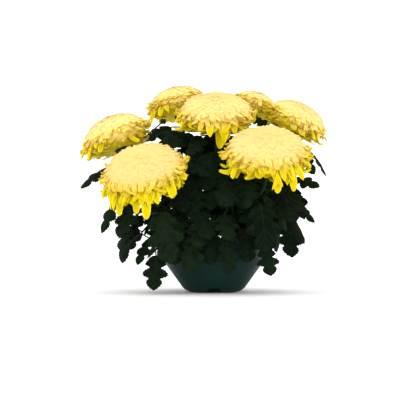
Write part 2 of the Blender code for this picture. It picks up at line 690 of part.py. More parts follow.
def leaf_shape(leaf, growth=1.0):
    """Points and triangles of a lobed leaf with a three-sided stalk: thickest along its midrib, thin at its
    edge, with the same triangles above and below."""
    side, line = leaf_frame(leaf)
    points = []
    faces = []

    def add(spot):
        points.append(spot)
        return len(points) - 1

    def add_edge_and_keel(middle, upper):
        edges = [add(middle + side * sign * STALK_WIDTH / 2) for sign in (1, -1)]
        return (*edges, add(middle - upper * STALK_THICKNESS))

    stalk_upper = side.cross(leaf.base - leaf.root).normalized()
    blade_upper = leaf_point(leaf, side, line, 0, 0)[1]
    root = add_edge_and_keel(leaf.root, stalk_upper)
    base = add_edge_and_keel(leaf.base, (stalk_upper + blade_upper).normalized())
    tip = add(leaf_point(leaf, side, line, 0, 1.0)[0])
    above, below = [], []
    for along in MIDRIB:
        spot, upper = leaf_point(leaf, side, line, 0, along)
        above.append(add(spot))
        below.append(add(spot - upper * LEAF_THICKNESS))
    for half, sign in ((0, 1), (1, -1)):
        outline = [add(leaf_point(leaf, side, line, sign * across * growth, along)[0])
                   for across, along in HALF_OUTLINE]
        lower = [base[half]] + outline[:LOWER_POINTS]
        upper = outline[LOWER_POINTS - 1:] + [tip]
        for middle in (above, below):
            faces += [(middle[0], a, b) for a, b in zip(lower, lower[1:])]
            faces += [(middle[1], a, b) for a, b in zip(upper, upper[1:])]
            faces.append((middle[0], outline[LOWER_POINTS - 1], middle[1]))
        faces.append((base[2], base[half], below[0]))
        faces += [(root[half], base[half], base[2]), (root[half], base[2], root[2])]
    faces += [(base[0], base[1], above[0]), (root[0], root[1], base[1]), (root[0], base[1], base[0]), root]
    return points, faces


def lines_of(bloom):
    return [stem_line(bloom)] + [shoot_line(shoot) for shoot in SHOOTS if shoot.stem == bloom.name]


def nearest_on_lines(bloom, point):
    """The point of the stem or its shoots nearest to a point, kept below it where it can be."""
    spots = [bezier(line, step / 40) for line in lines_of(bloom) for step in range(2, 41)]
    return min(spots, key=lambda spot: (spot - point).length + max(spot.z - point.z - 10 * MM, 0))


def shown_leaves():
    leaves = []
    for stem, base, tip, face, arch, width in SHOWN_LEAVES:
        bloom = next(bloom for bloom in BLOOMS if bloom.name == stem)
        base = Vector(base) * MM
        root = nearest_on_lines(bloom, base)
        leaves.append(Leaf(stem, root, base, Vector(tip) * MM, Vector(face), arch, width))
    return leaves


def grown_leaf(stem, root, way, chance, slack):
    """A leaf that a rule places at a point of a stem, heading the given way; slack widens its scatter."""
    turn = chance.uniform(-0.3, 0.3) * (1 + 2.2 * slack)
    way = (Matrix.Rotation(turn, 3, "Z") @ way).normalized()
    rise = math.radians(chance.uniform(*STALK_RISE) - 45 * slack * chance.random())
    stalk = chance.uniform(*STALK_LENGTH) * (1 + 0.8 * slack * chance.random())
    base = root + (way * math.cos(rise) + UP * math.sin(rise)) * stalk
    length = chance.uniform(*BLADE_LENGTH) * (1 - 0.35 * slack)
    falls = HANGING_FALL if root.z < HANGING_BELOW else SPREADING_FALL
    fall = math.radians(chance.uniform(*falls) + chance.uniform(-35, 25) * slack)
    tip = base + (way * math.cos(fall) - UP * math.sin(fall)) * length
    face = UP * math.cos(fall) + way * math.sin(fall)
    face = Matrix.Rotation(chance.uniform(-0.45, 0.45), 3, way) @ face
    return Leaf(stem, root, base, tip, face, chance.uniform(*BLADE_ARCH), chance.uniform(*BLADE_WIDTH))


class Room:
    """What already takes up room, as search trees with their boxes and the stem that each belongs to."""

    def __init__(self):
        self.taken = []

    def add(self, points, faces, owner=None):
        self.taken.append((owner, *box_of(points), tree_of(points, faces)))

    def add_mesh(self, mesh, frame, owner=None):
        self.add([frame @ v.co for v in mesh.vertices], [tuple(p.vertices) for p in mesh.polygons], owner)

    def free(self, points, faces, leave_out=None):
        """Whether the faces touch nothing and stay off the floor; one stem's own pieces can be left out."""
        low, high = box_of(points)
        if low.z < FLOOR_CLEARANCE:
            return False
        tree = tree_of(points, faces)
        for owner, other_low, other_high, other in self.taken:
            near = all(low[i] < other_high[i] and high[i] > other_low[i] for i in range(3))
            if near and (leave_out is None or owner != leave_out) and tree.overlap(other):
                return False
        return True


def tree_of(points, faces):
    return BVHTree.FromPolygons([tuple(point) for point in points], faces)


def box_of(points):
    low = Vector([min(point[i] for point in points) for i in range(3)])
    high = Vector([max(point[i] for point in points) for i in range(3)])
    return low, high


def leaf_fits(leaf, room):
    """Whether there is room for the leaf, also a little above and below it. Only the inner half of its stalk
    may meet pieces of its own stem."""
    side, line = leaf_frame(leaf)
    upper = leaf_point(leaf, side, line, 0, 0.5)[1]
    outer_part = leaf._replace(root=leaf.root.lerp(leaf.base, 0.5))
    for tested, own_stem in ((leaf, leaf.stem), (outer_part, None)):
        points, faces = leaf_shape(tested, CLEARANCE_GROWTH)
        for lift in (0.0, LEAF_CLEARANCE, -LEAF_CLEARANCE):
            if not room.free([point + upper * lift for point in points], faces, own_stem):
                return False
    return True


def leaf_places():
    """Each place that the rule gives a leaf: its stem, the point of the stem and the way it heads."""
    places = []
    for bloom in BLOOMS:
        for number, line in enumerate(lines_of(bloom)):
            length = sum((bezier(line, (i + 1) / 20) - bezier(line, i / 20)).length for i in range(20))
            end = length - (BARE_NECK if number == 0 else 0)
            for index in range(int((end - FIRST_LEAF) // LEAF_SPACING) + 1):
                root = bezier(line, (FIRST_LEAF + index * LEAF_SPACING) / length)
                way = Matrix.Rotation(index * GOLDEN_ANGLE + number, 3, "Z") @ outward(root)
                places.append((bloom.name, root, (way + outward(root) * 0.9).normalized()))
    return places


def grow_leaves(room):
    """All leaves: first those that give the outline, then the rule's, each only where there is room."""
    leaves = []
    for leaf in shown_leaves():
        if leaf_fits(leaf, room):
            leaves.append(leaf)
            room.add(*leaf_shape(leaf), leaf.stem)
    for number, (stem, root, way) in enumerate(leaf_places()):
        chance = random.Random(SEED * 1000 + number)
        for attempt in range(TRIES):
            leaf = grown_leaf(stem, root, way, chance, attempt / TRIES)
            if leaf.tip.xy.length < LEAF_REACH and leaf_fits(leaf, room):
                leaves.append(leaf)
                room.add(*leaf_shape(leaf), leaf.stem)
                break
    return leaves


def make_plant(collection, green, yellow, pot, soil):
    room = Room()
    heads = [make_bloom(bloom, collection, yellow) for bloom in BLOOMS]
    for head in heads:
        room.add_mesh(head.data, head.matrix_world)
    for obj in (pot, soil):
        room.add_mesh(evaluated_mesh(obj), Matrix.Identity(4))
    parts = {}
    for bloom in BLOOMS:
        stem, shoots = stem_meshes(bloom)
        pieces = [cup_mesh(bloom)] + shoots
        for bud in BUDS:
            if bud.stem == bloom.name:
                pieces += bud_meshes(bud)
        parts[bloom.name] = (stem, pieces)
        for mesh in (stem, *pieces):
            room.add_mesh(mesh, Matrix.Identity(4), bloom.name)
    leaves = grow_leaves(room)
    for bloom in BLOOMS:
        stem, pieces = parts[bloom.name]
        body = add_object("stem_" + bloom.name, stem, collection, green)
        pieces += [mesh_of("leaf", *leaf_shape(leaf)) for leaf in leaves if leaf.stem == bloom.name]
        fuse(body, pieces)


def main():
    for obj in list(bpy.data.objects):
        bpy.data.objects.remove(obj)
    plant = bpy.data.collections.new("pot chrysanthemum")
    cutters = bpy.data.collections.new("cutters")
    for collection in (plant, cutters):
        bpy.context.scene.collection.children.link(collection)
    pot = make_pot(plant, cutters, plain_material("pot plastic", (0.009, 0.022, 0.020), 0.42))
    soil = make_soil(plant, cutters, plain_material("potting soil", (0.022, 0.014, 0.009), 0.95))
    green = plain_material("leaf", (0.012, 0.030, 0.010), 0.55)
    yellow = plain_material("petal", (1.0, 0.78, 0.20), 0.6)
    make_plant(plant, green, yellow, pot, soil)


main()
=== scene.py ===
"""The looks of the pot chrysanthemum: fine heads, leaves, stems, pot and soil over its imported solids.

Metres, +Z up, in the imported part's frame. Each fine piece is grown by the rule that placed the solid which
it replaces, so it has the same form. Positions of heads and leaves are written in millimetres.
"""

import json
import math
import random
from collections import namedtuple

import bmesh
import bpy
import numpy as np
from mathutils import Matrix, Vector, noise
from mathutils.geometry import delaunay_2d_cdt
from mathutils.kdtree import KDTree

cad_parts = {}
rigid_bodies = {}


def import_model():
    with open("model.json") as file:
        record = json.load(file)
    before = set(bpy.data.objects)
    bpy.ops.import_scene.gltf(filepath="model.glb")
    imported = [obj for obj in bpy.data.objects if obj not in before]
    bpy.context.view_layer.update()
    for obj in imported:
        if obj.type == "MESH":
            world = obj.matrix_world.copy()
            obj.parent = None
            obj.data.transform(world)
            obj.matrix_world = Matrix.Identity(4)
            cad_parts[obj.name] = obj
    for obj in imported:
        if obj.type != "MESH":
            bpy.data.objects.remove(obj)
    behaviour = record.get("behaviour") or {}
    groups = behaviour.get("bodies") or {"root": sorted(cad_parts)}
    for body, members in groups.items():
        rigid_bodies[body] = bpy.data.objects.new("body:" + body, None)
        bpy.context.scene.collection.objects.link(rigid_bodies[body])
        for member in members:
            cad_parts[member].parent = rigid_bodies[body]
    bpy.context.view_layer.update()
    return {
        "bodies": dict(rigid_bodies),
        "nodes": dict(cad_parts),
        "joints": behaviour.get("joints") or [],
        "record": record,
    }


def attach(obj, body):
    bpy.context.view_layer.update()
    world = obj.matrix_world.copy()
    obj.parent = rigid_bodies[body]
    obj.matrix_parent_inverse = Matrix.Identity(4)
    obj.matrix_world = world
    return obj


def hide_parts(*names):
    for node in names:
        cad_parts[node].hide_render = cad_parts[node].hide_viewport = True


MM = 0.001
UP = Vector((0.0, 0.0, 1.0))
GOLDEN_ANGLE = math.radians(137.508)
GAP = 0.3 * MM

# The part's sizes, as its source has them
FOOT_RADIUS = 35 * MM
FOOT_ROUNDING = 19 * MM
WALL_SLOPE = math.radians(54)
WALL_THICKNESS = 1.8 * MM
BAND_RADIUS = 77.5 * MM
BAND_STEP = 1.4 * MM
BAND_FLARE = 2.5 * MM
POT_HEIGHT = 84 * MM
RIM_LIP = 2.6 * MM
NOTCH_COUNT = 4
NOTCH_WIDTH = 26 * MM
NOTCH_ROOF_WIDTH = 14 * MM
NOTCH_HEIGHT = 7 * MM
NOTCH_START = 23 * MM
SOIL_HEIGHT = 72 * MM
STEM_RADIUS = 2.9 * MM
STEM_TOP_SHARE = 0.8
STEM_RING = 27 * MM
HOLE_DEPTH = 16 * MM
SHOOT_RADIUS = 1.9 * MM
CUP_RADIUS = 11 * MM
CUP_DEPTH = 11 * MM
BUD_RADIUS = 4.6 * MM
BUD_STALK = 22 * MM
DOME_RISE = 0.66
UNDERSIDE_DEPTH = 1.0
CORE_FLOOR = 0.30
LOWEST_PETAL = math.radians(120)
PETAL_ROOT = 0.64
LEAF_FOLD = 0.22
FIRST_LEAF = 24 * MM
LEAF_SPACING = 23 * MM
BARE_NECK = 24 * MM
BLADE_LENGTH = (58 * MM, 76 * MM)
BLADE_WIDTH = (0.74, 0.90)
BLADE_ARCH = (0.10, 0.20)
STALK_LENGTH = (14 * MM, 26 * MM)
STALK_RISE = (20, 50)
HANGING_FALL = (40, 78)
SPREADING_FALL = (28, 72)
HANGING_BELOW = 118 * MM
TRIES = 40
SEED = 7
CENTRE_FOOT = -3 * MM
STEM_IN_CUP, STEM_RISE, STEM_SPREAD, STEM_APPROACH = 0.8, 0.42, 0.04, 0.36
SHOOT_BEND = 0.55
ROOT_STEPS, LENGTH_STEPS = 40, 20
HIGHER_ROOT = 10 * MM
LEAF_OUTWARD, LEAF_TURN, LEAF_TWIST = 0.9, 0.3, 0.45
# What a leaf's turn, rise, stalk, blade and fall may gain by its last try
SLACK_TURN, SLACK_RISE, SLACK_STALK, SLACK_BLADE, SLACK_FALL = 2.2, 45, 0.8, 0.35, (-35, 25)
CORNER_MATCH = 0.03 * MM

# A head: middle, lean and its direction in degrees, reach, and long straps (direction, reach, drop, width)
Bloom = namedtuple("Bloom", "name middle lean towards radius straps")
BLOOMS = (
    Bloom("front_left", (-105, -93, 180), 30, -112, 66,
          ((-84, 60, 42, 14), (-100, 55, 34, 11), (-141, 62, 28, 12), (-128, 58, 36, 12),
           (-47, 67, 22, 15), (-22, 69, 8, 12), (178, 69, 4, 12), (-160, 66, 16, 11))),
    Bloom("front_right", (78, -98, 208), 22, -92, 66,
          ((-138, 70, 20, 12), (-79, 60, 38, 13), (-55, 62, 38, 13), (168, 71, -2, 10),
           (-105, 56, 18, 14), (10, 70, 0, 11), (-25, 68, 12, 11))),
    Bloom("centre", (4, -8, 277), 14, -90, 64,
          ((-86, 54, 42, 15), (-72, 52, 28, 11), (-146, 66, 12, 13), (-166, 66, 6, 11))),
    Bloom("left", (-156, 4, 246), 22, 178, 58,
          ((-165, 60, 14, 11), (-140, 56, 22, 11), (-178, 62, 4, 11), (-115, 52, 20, 11))),
    Bloom("right", (136, 45, 276), 27, -12, 54,
          ((-8, 57, 6, 9), (-60, 52, 16, 11), (-115, 50, 14, 11))),
    Bloom("back_left", (-58, 92, 310), 12, 150, 53, ((-125, 52, 22, 11), (-150, 52, 24, 11))),
    Bloom("back_right", (72, 104, 309), 22, 20, 43, ((-60, 42, 14, 9), (100, 44, 10, 9))),
)

Shoot = namedtuple("Shoot", "stem share end rise")
SHOOTS = (
    Shoot("front_left", 0.16, (-95, -58, 82), 34),
    Shoot("front_left", 0.34, (-108, -72, 118), 22),
    Shoot("centre", 0.10, (-20, -96, 92), 38),
    Shoot("front_right", 0.16, (76, -70, 88), 34),
    Shoot("front_right", 0.30, (18, -90, 126), 26),
    Shoot("right", 0.16, (118, 4, 92), 36),
    Shoot("right", 0.34, (128, -28, 140), 24),
    Shoot("left", 0.16, (-118, 6, 90), 38),
    Shoot("left", 0.30, (-104, 56, 118), 26),
    Shoot("back_left", 0.14, (-60, 96, 86), 38),
    Shoot("back_right", 0.14, (52, 100, 86), 38),
    Shoot("back_right", 0.26, (102, 76, 112), 26),
)

Bud = namedtuple("Bud", "stem middle")
BUDS = (Bud("back_right", (64, 44, 292)), Bud("left", (-82, 24, 276)), Bud("right", (150, 18, 232)))

Leaf = namedtuple("Leaf", "stem root base tip face arch width")
# The leaves that the photo shows, by stem: base, tip, facing, arch, width
SHOWN_LEAVES = {
    "front_left": (
        ((-112, -70, 92), (-141, -88, 52), (-0.7, -0.5, 0.5), 0.12, 0.62),
        ((-98, -76, 84), (-116, -92, 44), (-0.55, -0.7, 0.4), 0.12, 0.66),
        ((-88, -84, 58), (-92, -92, 6), (-0.25, -0.95, 0.1), 0.06, 0.84),
        ((-80, -116, 122), (-65, -124, 46), (0.05, -1, 0.18), 0.08, 0.76),
        ((-40, -48, 200), (-8, -74, 178), (0.1, -0.6, 0.8), 0.14, 0.74),
        ((-62, -86, 98), (-60, -97, 44), (-0.1, -1, 0.08), 0.05, 0.9),
        ((-56, -60, 172), (-46, -90, 122), (0, -0.92, 0.4), 0.1, 0.84),
    ),
    "front_right": (
        ((14, -92, 120), (21, -124, 80), (0.05, -0.78, 0.62), 0.16, 0.8),
        ((18, -98, 80), (22, -106, 30), (0.05, -1, 0.12), 0.08, 0.72),
        ((68, -112, 134), (76, -122, 62), (0.08, -1, 0.15), 0.08, 0.78),
        ((76, -86, 70), (84, -98, 28), (0.2, -0.95, 0.15), 0.08, 0.86),
        ((48, -90, 100), (48, -99, 48), (0.12, -1, 0.08), 0.05, 0.9),
        ((52, -70, 180), (40, -98, 128), (-0.05, -0.92, 0.4), 0.1, 0.84),
        ((28, -60, 171), (11, -91, 129), (-0.05, -0.92, 0.39), 0.1, 0.86),
        ((107, -62, 152), (116, -97, 107), (0.2, -0.9, 0.39), 0.1, 0.84),
        ((56, -45, 196), (53, -73, 154), (-0.01, -0.98, 0.21), 0.1, 0.88),
        ((76, -41, 191), (75, -57, 148), (0.04, -0.95, 0.31), 0.1, 0.84),
    ),
    "centre": (
        ((-26, -84, 124), (-8, -122, 82), (0.05, -0.75, 0.6), 0.16, 0.8),
        ((-32, -100, 84), (-38, -106, 32), (-0.12, -1, 0.1), 0.08, 0.8),
        ((-14, -22, 242), (-44, -42, 212), (-0.3, -0.7, 0.6), 0.12, 0.72),
        ((-8, -94, 94), (-6, -97, 44), (0, -1, 0.08), 0.05, 0.9),
        ((-5, -38, 218), (-14, -59, 156), (-0.05, -0.92, 0.38), 0.1, 0.86),
        ((20, -28, 239), (36, -49, 181), (0.25, -0.89, 0.38), 0.1, 0.84),
        ((19, -30, 210), (7, -56, 159), (0.05, -0.92, 0.39), 0.1, 0.86),
        ((-30, -29, 202), (-35, -58, 144), (-0.12, -0.9, 0.43), 0.1, 0.86),
        ((-29, -58, 160), (-38, -84, 115), (-0.1, -0.92, 0.38), 0.1, 0.88),
        ((0, -40, 174), (-8, -70, 127), (-0.1, -0.92, 0.38), 0.1, 0.88),
        ((-22, 8, 250), (-40, -4, 214), (-0.1, -0.91, 0.4), 0.1, 0.84),
        ((8, 14, 244), (16, 8, 202), (0.05, -0.93, 0.35), 0.1, 0.86),
        ((12, -26, 150), (14, -42, 104), (0, -0.93, 0.35), 0.1, 0.86),
        ((-3, 19, 254), (-9, 13, 214), (0, -0.95, 0.3), 0.1, 0.86),
    ),
    "left": (
        ((-82, -6, 222), (-80, -30, 166), (-0.2, -0.88, 0.42), 0.1, 0.84),
        ((-76, -20, 242), (-69, -42, 189), (-0.05, -0.87, 0.49), 0.1, 0.84),
        ((-131, -13, 204), (-148, -45, 156), (-0.3, -0.81, 0.51), 0.1, 0.74),
        ((-78, 15, 258), (-45, -4, 231), (-0.09, -0.77, 0.63), 0.1, 0.8),
        ((-108, 2, 237), (-124, -24, 197), (-0.12, -0.76, 0.64), 0.1, 0.8),
        ((-165, -10, 198), (-211, -20, 163), (-0.25, -0.45, 0.86), 0.14, 0.66),
        ((-150, -34, 148), (-175, -42, 92), (-0.71, -0.61, 0.35), 0.1, 0.66),
        ((-128, -34, 142), (-146, -56, 84), (-0.5, -0.75, 0.4), 0.1, 0.8),
    ),
    "right": (
        ((158, 22, 226), (182, 12, 184), (0.8, -0.35, 0.4), 0.1, 0.55),
        ((110, 1, 228), (102, -31, 179), (0.1, -0.91, 0.4), 0.1, 0.84),
        ((98, 9, 252), (85, -22, 214), (0.05, -0.85, 0.52), 0.1, 0.84),
        ((112, -34, 108), (140, -44, 76), (0.45, -0.74, 0.5), 0.14, 0.74),
        ((122, -50, 138), (154, -60, 108), (0.5, -0.6, 0.62), 0.14, 0.7),
        ((120, -54, 176), (160, -76, 162), (0.1, -0.75, 0.65), 0.14, 0.66),
        ((107, -46, 160), (135, -65, 125), (0.15, -0.91, 0.39), 0.12, 0.8),
        ((101, -24, 133), (119, -50, 89), (0.29, -0.87, 0.4), 0.12, 0.84),
        ((134, -6, 226), (160, -14, 186), (0.3, -0.8, 0.45), 0.1, 0.72),
    ),
    "back_left": (
        ((-50, 58, 262), (-84, 40, 232), (-0.2, -0.87, 0.46), 0.1, 0.8),
        ((-72, 70, 272), (-112, 56, 248), (-0.2, -0.75, 0.6), 0.12, 0.76),
        ((-40, 34, 258), (-47, 26, 222), (0, -0.93, 0.35), 0.1, 0.8),
    ),
    "back_right": (
        ((67, 55, 285), (94, 43, 265), (0.1, -0.73, 0.67), 0.12, 0.8),
        ((30, 60, 256), (38, 44, 212), (0.05, -0.93, 0.35), 0.1, 0.84),
    ),
}

# Half of a leaf's outline from stalk to tip: across as a share of half its width, and along its length
HALF_OUTLINE = (
    (0.10, 0.000), (0.30, 0.010), (0.47, 0.045), (0.58, 0.085), (0.60, 0.120), (0.74, 0.150), (0.73, 0.195),
    (0.81, 0.240), (0.73, 0.275), (0.66, 0.285), (0.58, 0.318), (0.51, 0.316), (0.45, 0.342), (0.50, 0.366),
    (0.60, 0.372), (0.66, 0.402), (0.80, 0.405), (0.83, 0.448), (0.96, 0.470), (0.94, 0.510), (1.00, 0.548),
    (0.89, 0.572), (0.84, 0.612), (0.70, 0.604), (0.64, 0.642), (0.54, 0.636), (0.46, 0.664), (0.51, 0.694),
    (0.60, 0.716), (0.58, 0.756), (0.61, 0.800), (0.52, 0.830), (0.50, 0.874), (0.38, 0.896), (0.31, 0.940),
    (0.18, 0.960),
)
# Half of its veins: the vein that each leaves (or the midrib), how far along it, and the vein's end
HALF_VEINS = (
    (None, 0.03, (0.70, 0.235)), (0, 0.37, (0.48, 0.085)), (0, 0.51, (0.62, 0.162)),
    (None, 0.21, (0.88, 0.540)), (3, 0.45, (0.68, 0.425)), (3, 0.63, (0.84, 0.475)), (3, 0.55, (0.60, 0.590)),
    (None, 0.49, (0.48, 0.790)), (7, 0.46, (0.46, 0.730)),
    (None, 0.70, (0.34, 0.860)), (None, 0.85, (0.16, 0.925)),
)

# Fine forms, which the solids are too plain for
LEAF, STALK, STEM = range(3)
SHARP_ANGLE = math.radians(60)
LEAF_PATTERNS = 4
BLADE_THICKNESS = 0.5 * MM
FOLD_ROUNDING = 2.5 * MM
PUFF = 0.8 * MM
WAVE = 0.8 * MM
VEIN_REACH = 1.1 * MM
PUFF_FROM_VEIN, PUFF_FROM_EDGE = 0.035, 0.05
WAVES_PER_BLADE = (1.6, 2.6)
STALK_RADIUS = 1.05 * MM
STALK_BASE, STALK_BOW, STALK_STEPS, STALK_SIDES = 1.15, (-0.4, 0.8), 5, 7
MIDRIB_STEPS, MIDRIB_END, MIDRIB_TAPER, MIDRIB_BELOW = 12, 0.93, 0.78, 0.15 * MM
STEM_STEPS, STEM_SIDES, STEM_INSET = 30, 12, 0.97
NODE_SWELL, NODE_WAVES, NODE_SHARPNESS = 0.05, 47, 8
SHOOT_STEPS, SHOOT_SIDES, SHOOT_TAPER = 16, 10, 0.35
CUP_SIDES = 24
CUP_PROFILE = ((0.29, -1.0), (0.42, -0.95), (0.66, -0.72), (0.86, -0.40), (0.97, -0.10), (0.95, 0.0))
# Rows of bracts: where they start and end and how many they are
CUP_BRACTS = ((-0.92, -0.42, 8), (-0.72, -0.16, 10), (-0.48, -0.02, 13))
BUD_BRACTS = ((-1.3, -0.1, 6), (-0.9, 0.5, 7), (-0.3, 1.05, 7))
CUP_BRACT_BREADTH, BUD_BRACT_BREADTH = 4.4 * MM, 4.2 * MM
BUD_RINGS, BUD_SIDES, BUD_CORE, BUD_YELLOW = 14, 20, 0.9, 0.69
FULL_RADIUS = 64
DOME_PETALS, RIM_PETALS, SKIRT_PETALS, UNDER_PETALS = 820, 92, 70, 46
DOME_SIZE, DOME_ROOT, DOME_TIP, LIFTED_TIP = (0.943, 0.953), 0.965, (0.983, 0.993), (1.0, 1.01)
TOP_BREADTH = 0.66
LIFTED_PETALS, LIFTED_OUTER = 0.12, 0.3
EDGE_LIFT, EDGE_REACH, EDGE_NARROWING = 0.09, 0.4, 0.22
DOME_UNEVEN, RIM_UNEVEN, SKIRT_UNEVEN = 0.05, (0.02, 0.015), (0.04, 0.03)
RIM_INSET = 0.07
# Turns of the first petals of the rim, the skirt and the underside
RIM_TURN, SKIRT_TURN, UNDER_TURN = 0.4, 1.0, 0.7
LONG_RAYS = 0.35
LONG_RAY = ((1.02, 1.08), (0.8, 1.0), 0.45)
SHORT_RAY = ((0.90, 0.97), (0.85, 1.15), 0.36)
STRAP_START = math.radians(84)
STRAP_FELLOWS = (-0.22, -0.12, 0.12, 0.22)
SKIRT_SIZE, SKIRT_WIDTH, UNDER_REACH = (0.86, 1.0), (0.75, 1.2), (0.66, 0.88)
FELLOW_REACH, FELLOW_FALL, FELLOW_WIDTH = (0.86, 0.98), (0.3, 0.8), (0.7, 1.0)
BOAT_PLACES = math.radians(82), math.radians(116), math.radians(101)
BOAT_BELLY, BOAT_SLANT = 1.02, 0.14
# How hollow a petal is, as a share of its half width
DOME_CHANNEL, SKIRT_CHANNEL, UNDER_CHANNEL = -0.14, 0.36, 0.12
FELLOW_CHANNEL, BOAT_CHANNEL, STRAP_CHANNEL = 0.4, 0.7, 0.5
# A petal is clear yellow from this share of its length on
SKIRT_CLEAR, FELLOW_CLEAR, BOAT_CLEAR, STRAP_CLEAR = 0.5, 0.35, 0.25, 0.3
ALL_CLEAR, NEVER_CLEAR, OUTER_CLEAR, CLEAR_REACH = -1.0, 2.0, 1.45, 0.35
# For each head: degrees from the low side of the rim, reach as a share of the radius, width in mm
BOATS = {
    "front_left": ((50, 1.16, 12), (-62, 1.12, 10)),
    "front_right": ((-58, 1.20, 13), (-84, 1.08, 10), (60, 1.08, 11)),
    "centre": ((-62, 1.14, 13), (42, 1.02, 11)),
    "left": ((-4, 1.08, 11), (26, 1.06, 10), (-32, 1.06, 10)),
    "right": ((4, 1.08, 10), (-26, 1.05, 10)),
    "back_left": ((-50, 1.05, 10),),
}
PETAL_LENGTH = 20 * MM
LENGTH_SPREAD = (0.85, 1.15)
PETAL_BREADTH = 7.4 * MM
RIM_BREADTH = 9 * MM
SKIRT_BREADTH = 10.5 * MM
UNDER_BREADTH = 12.5 * MM
PETAL_THICKNESS = 0.3 * MM
DOME_END = math.radians(84)
DOME_TURN = math.radians(13)
RIM_START, RIM_END = math.radians(80), math.radians(99)
# Painted light: a head's cream top gives way to clear yellow between these degrees from its top. The start
# comes earlier on heads that face the front, and the turn moves the cream towards the front on heads seen
# from the side.
TONE_START, TONE_END = 74, 100
TONE_EARLIER = 16
TONE_TURN = math.radians(18)
# Painted light: the lighter cream of the shaded flanks runs between these degrees from a head's top.
PAINTED_FLANK_START, PAINTED_FLANK_END = 20, 62
CORE_SHARE = 0.905
CORE_TUCK, CORE_TUCKED = 0.35, -0.3
CORE_RINGS, CORE_SIDES = 20, 32
# Half widths of blades along their lines, as shares of the largest
PETAL_PROFILE = ((0.0, 0.6), (0.25, 0.85), (0.5, 1.0), (0.70, 0.90), (0.85, 0.66), (0.95, 0.36), (1.0, 0.06))
SKIRT_PROFILE = ((0.0, 0.45), (0.20, 0.66), (0.42, 0.88), (0.64, 1.0), (0.82, 0.94), (0.92, 0.72),
                 (0.98, 0.38), (1.0, 0.10))
STRAP_PROFILE = ((0.0, 0.55), (0.15, 0.66), (0.30, 0.80), (0.45, 0.92), (0.58, 0.98), (0.70, 1.0),
                 (0.80, 0.98), (0.88, 0.90), (0.94, 0.74), (0.975, 0.52), (0.995, 0.24), (1.0, 0.05))
RAY_PROFILE = ((0.0, 0.45), (0.20, 0.66), (0.42, 0.90), (0.60, 1.0), (0.77, 0.88), (0.90, 0.60), (0.97, 0.28),
               (1.0, 0.06))
BRACT_PROFILE = ((0.0, 0.9), (0.3, 1.0), (0.6, 0.85), (0.85, 0.45), (1.0, 0.05))
FLOOR_THICKNESS = 2.4 * MM
DRAIN_RADIUS = 3.5 * MM
DRAIN_FROM_AXIS = 35 * MM
POT_SIDES = 96
POT_EDGE = 0.9 * MM
POT_SHARP_ANGLE = math.radians(32)
ABOVE_POT = 5 * MM
DRAIN_SIDES, DRAIN_MIDDLE, DRAIN_DEPTH = 24, 7 * MM, 10 * MM
SOIL_DEPTH = 30 * MM
SOIL_ROUGHNESS = 1.6 * MM
SOIL_CRUMBS = 420
SOIL_RINGS, SOIL_SIDES, SOIL_FADE, SOIL_NARROWING = 44, 132, 3, 0.72
SOIL_NOISE = (9 * MM, 0.9, 2.1, 4)
CRUMB_SIZE, BARK_SIZE, CRUMB_REACH, CRUMB_RISE = (0.8, 2.2), (2.0, 4.2), 0.96, 0.15

WOOD_END, WOOD_START, WOOD_UNEVEN = 85 * MM, 150 * MM, 40 * MM

# Colours
# Painted light: the cream over the top of each head stands for the washed-out look of lit yellow petals. The
# clear yellow below is their own colour.
PETAL_CREAM_PAINTED_LIGHT = (0.87, 0.58, 0.20)
# Painted light: a lighter cream on the flanks of heads seen from the side, where their petals are in shade.
PETAL_FLANK_PAINTED_LIGHT = (1.0, 0.77, 0.27)
# Painted highlight: paler tips and edges of the cream petals.
PETAL_TIP_PAINTED_HIGHLIGHT = (0.93, 0.70, 0.27)
# Painted light: a lighter lemon at the roots of the cream petals, in the crevices under other petals, so that
# their shade reads yellow.
PETAL_ROOT_PAINTED_LIGHT = (0.92, 0.72, 0.17)
# Painted shade: the deeper orange of the gaps where the yellow petals' roots lie under others.
PETAL_ROOT_PAINTED_SHADE = (0.82, 0.58, 0.003)
PETAL_OUTER = (0.70, 0.555, 0.001)
# Painted highlight: brighter edges of the clear yellow petals.
PETAL_OUTER_EDGE_HIGHLIGHT = (0.86, 0.72, 0.030)
PETAL_SHADE = (0.98, 0.96, 0.82)
LEAF_DARK = (0.0028, 0.0058, 0.0027)
LEAF_LIGHT = (0.0092, 0.0212, 0.0070)
LEAF_BLUE = (0.0036, 0.0076, 0.0044)
LEAF_VEIN = (0.0090, 0.0195, 0.0078)
LEAF_UNDER = (0.010, 0.017, 0.010)
LEAF_UNDER_VEIN = (0.018, 0.030, 0.016)
STALK_GREEN = (0.012, 0.027, 0.008)
STALK_DARK = (0.007, 0.015, 0.005)
STEM_GREEN = (0.024, 0.052, 0.013)
STEM_DARK = (0.013, 0.029, 0.009)
STEM_WOOD = (0.045, 0.030, 0.016)
POT_GREEN = (0.0062, 0.0262, 0.0220)
POT_SCUFF = (0.010, 0.028, 0.025)
SOIL_DARK = (0.008, 0.005, 0.003)
SOIL_LIGHT = (0.045, 0.028, 0.017)
SOIL_BARK = (0.075, 0.042, 0.022)
FLOOR_WHITE = (0.95, 0.95, 0.95)
FLOOR_OFF_WHITE = (0.93, 0.93, 0.93)

# Studio, in metres; a light is its name, place, target, size and power
FLOOR_RADIUS = 4.0
WORLD_LIGHT = 1.44
LIGHTS = (
    ("key", (-0.3, -1.9, 0.7), (0.0, 0.0, 0.18), 0.9, 3.0),
)
CAMERA_PLACE = (-0.022, -1.5, 0.075)
CAMERA_TARGET = (-0.022, 0.0, 0.146)
PHOTO_WIDTH = 0.64
SENSOR = 36.0


# Curves and places, as in the part's source

def bezier(points, share):
    points = [Vector(point) for point in points]
    while len(points) > 1:
        points = [a.lerp(b, share) for a, b in zip(points, points[1:])]
    return points[0]


def swing(chance, reach):
    """A drawn number from -reach to reach."""
    return chance.uniform(-reach, reach)


